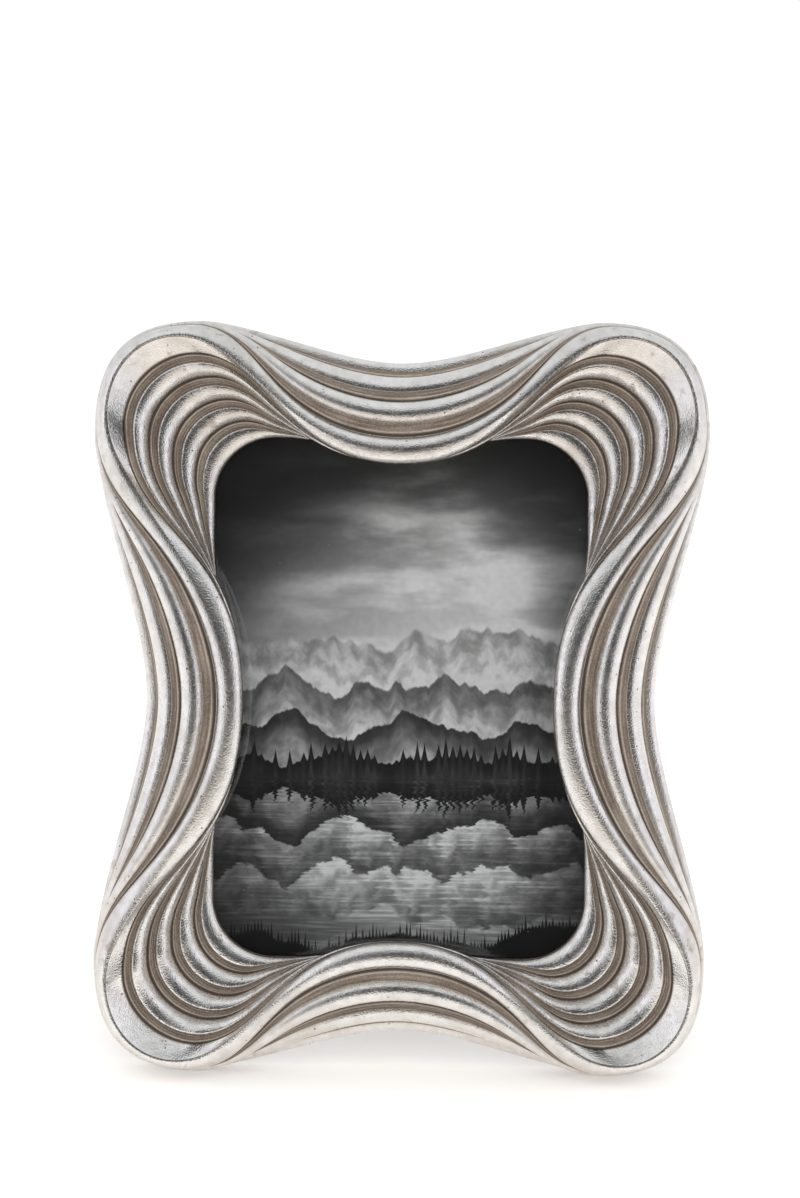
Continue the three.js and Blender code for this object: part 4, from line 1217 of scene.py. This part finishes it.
# floor, light and camera
studio = dict(
    floorSize=40.0, floorFront=-0.19, floorColor=(0.88, 0.85, 0.81), floorGlow=0.38,
    glowColor=(1.0, 0.985, 0.975), strength=0.95,
    high=(0.88, 0.905, 0.92), low=(1.0, 0.92, 0.84), lowTo=-0.4, highFrom=0.15,
    sides=(0.93, 0.92, 0.98), sidesFrom=0.45, sidesFull=0.9,
    front=(0.07, -0.96, 0.25), flatten=1.5, dimFrom=0.68, dimTo=0.9, dim=(0.065, 0.065, 0.065),
    boxes=dict(left=(-0.95, -0.45, 0.45), right=(0.95, -0.45, 0.45)), boxSize=(0.5, 0.9), boxPower=0.45,
    boxColor=(0.95, 0.95, 1.0), fill=(0.12, -1.1, 0.75), fillSize=(1.0, 1.0), fillPower=7.0,
    fillColor=(1.0, 1.0, 1.0), aim=(0, 0, 0.12),
)


def glowing(tree, color, strength):
    path = addNode(tree, "ShaderNodeLightPath").outputs
    bounced = calc(tree, "MAXIMUM", path["Is Glossy Ray"], path["Is Transmission Ray"])
    seen = times(tree, calc(tree, "MAXIMUM", path["Is Camera Ray"], bounced), strength)
    return made(tree, "ShaderNodeEmission", Color=(*color, 1), Strength=seen)


def paleFloor():
    material, tree, shader = newMaterial(
        "paleFloor", Base_Color=(*studio["floorColor"], 1), Roughness=1.0, Specular_IOR_Level=0.0
    )
    glow = glowing(tree, studio["glowColor"], studio["floorGlow"])
    both = addNode(tree, "ShaderNodeAddShader", {0: shader.outputs[0], 1: glow})
    feed(tree, tree.nodes["Material Output"].inputs["Surface"], both.outputs[0])
    return material


half, near = studio["floorSize"] / 2, studio["floorFront"]
floorCorners = [(-half, near, 0), (half, near, 0), (half, half, 0), (-half, half, 0)]
floor = newPiece("floor", floorCorners, [(0, 1, 2, 3)])
floor.data.materials.append(paleFloor())


# a pale room, cool from above and warm from below, dim on the camera's side
def studioWorld():
    world = bpy.data.worlds.new("studio")
    world.use_nodes = True
    tree = world.node_tree
    away = addNode(tree, "ShaderNodeTexCoord").outputs["Generated"]
    axes = axesOf(tree, away)
    upper = smooth(tree, axes["Z"], studio["lowTo"], studio["highFrom"])
    aside = smooth(tree, calc(tree, "ABSOLUTE", axes["X"]), studio["sidesFrom"], studio["sidesFull"])
    room = mixColor(tree, studio["low"], studio["high"], upper)
    room = mixColor(tree, room, studio["sides"], aside)
    squeeze = Vector((1, 1, studio["flatten"]))
    front = (Vector(studio["front"]) * squeeze).normalized()
    squeezed = calcVector(tree, "NORMALIZE", calcVector(tree, "MULTIPLY", away, squeeze))
    ahead = calcVector(tree, "DOT_PRODUCT", squeezed, front)
    room = mixColor(tree, room, studio["dim"], smooth(tree, ahead, studio["dimFrom"], studio["dimTo"]))
    seen = addNode(tree, "ShaderNodeLightPath").outputs["Is Camera Ray"]
    finish(
        tree, tree.nodes["Background"], Color=mixColor(tree, room, (1.0, 1.0, 1.0), seen),
        Strength=between(tree, studio["strength"], 1.0, seen),
    )
    return world


def turnedTo(place, aim):
    return (Vector(aim) - Vector(place)).to_track_quat("-Z", "Y").to_euler()


def softbox(name, place, kind):
    lamp = bpy.data.lights.new(name, "AREA")
    lamp.shape = "RECTANGLE"
    lamp.size, lamp.size_y = studio[kind + "Size"]
    lamp.energy, lamp.color = studio[kind + "Power"], studio[kind + "Color"]
    holder = inScene(name, lamp)
    holder.location = place
    holder.rotation_euler = turnedTo(place, studio["aim"])
    return holder


scene.world = studioWorld()
scene.view_settings.view_transform = "Standard"
for side, place in studio["boxes"].items():
    softbox(side + "Box", place, "box")
# the fill lights the print, and neither the leaf nor the pane shows it
fill = softbox("frontFill", studio["fill"], "fill")
fill.visible_glossy = fill.visible_transmission = False

view = dict(eye=(28, -900, 70), aim=(-0.35, 0, 32), lens=83.4, sensor=36)
eye, aim = (onFrame @ Vector(view[key]) for key in ("eye", "aim"))
camera = inScene("camera", bpy.data.cameras.new("camera"))
camera.location = eye
camera.rotation_euler = turnedTo(eye, aim)
camera.data.lens = view["lens"]
camera.data.sensor_width = view["sensor"]
scene.camera = camera
print("studio lit")
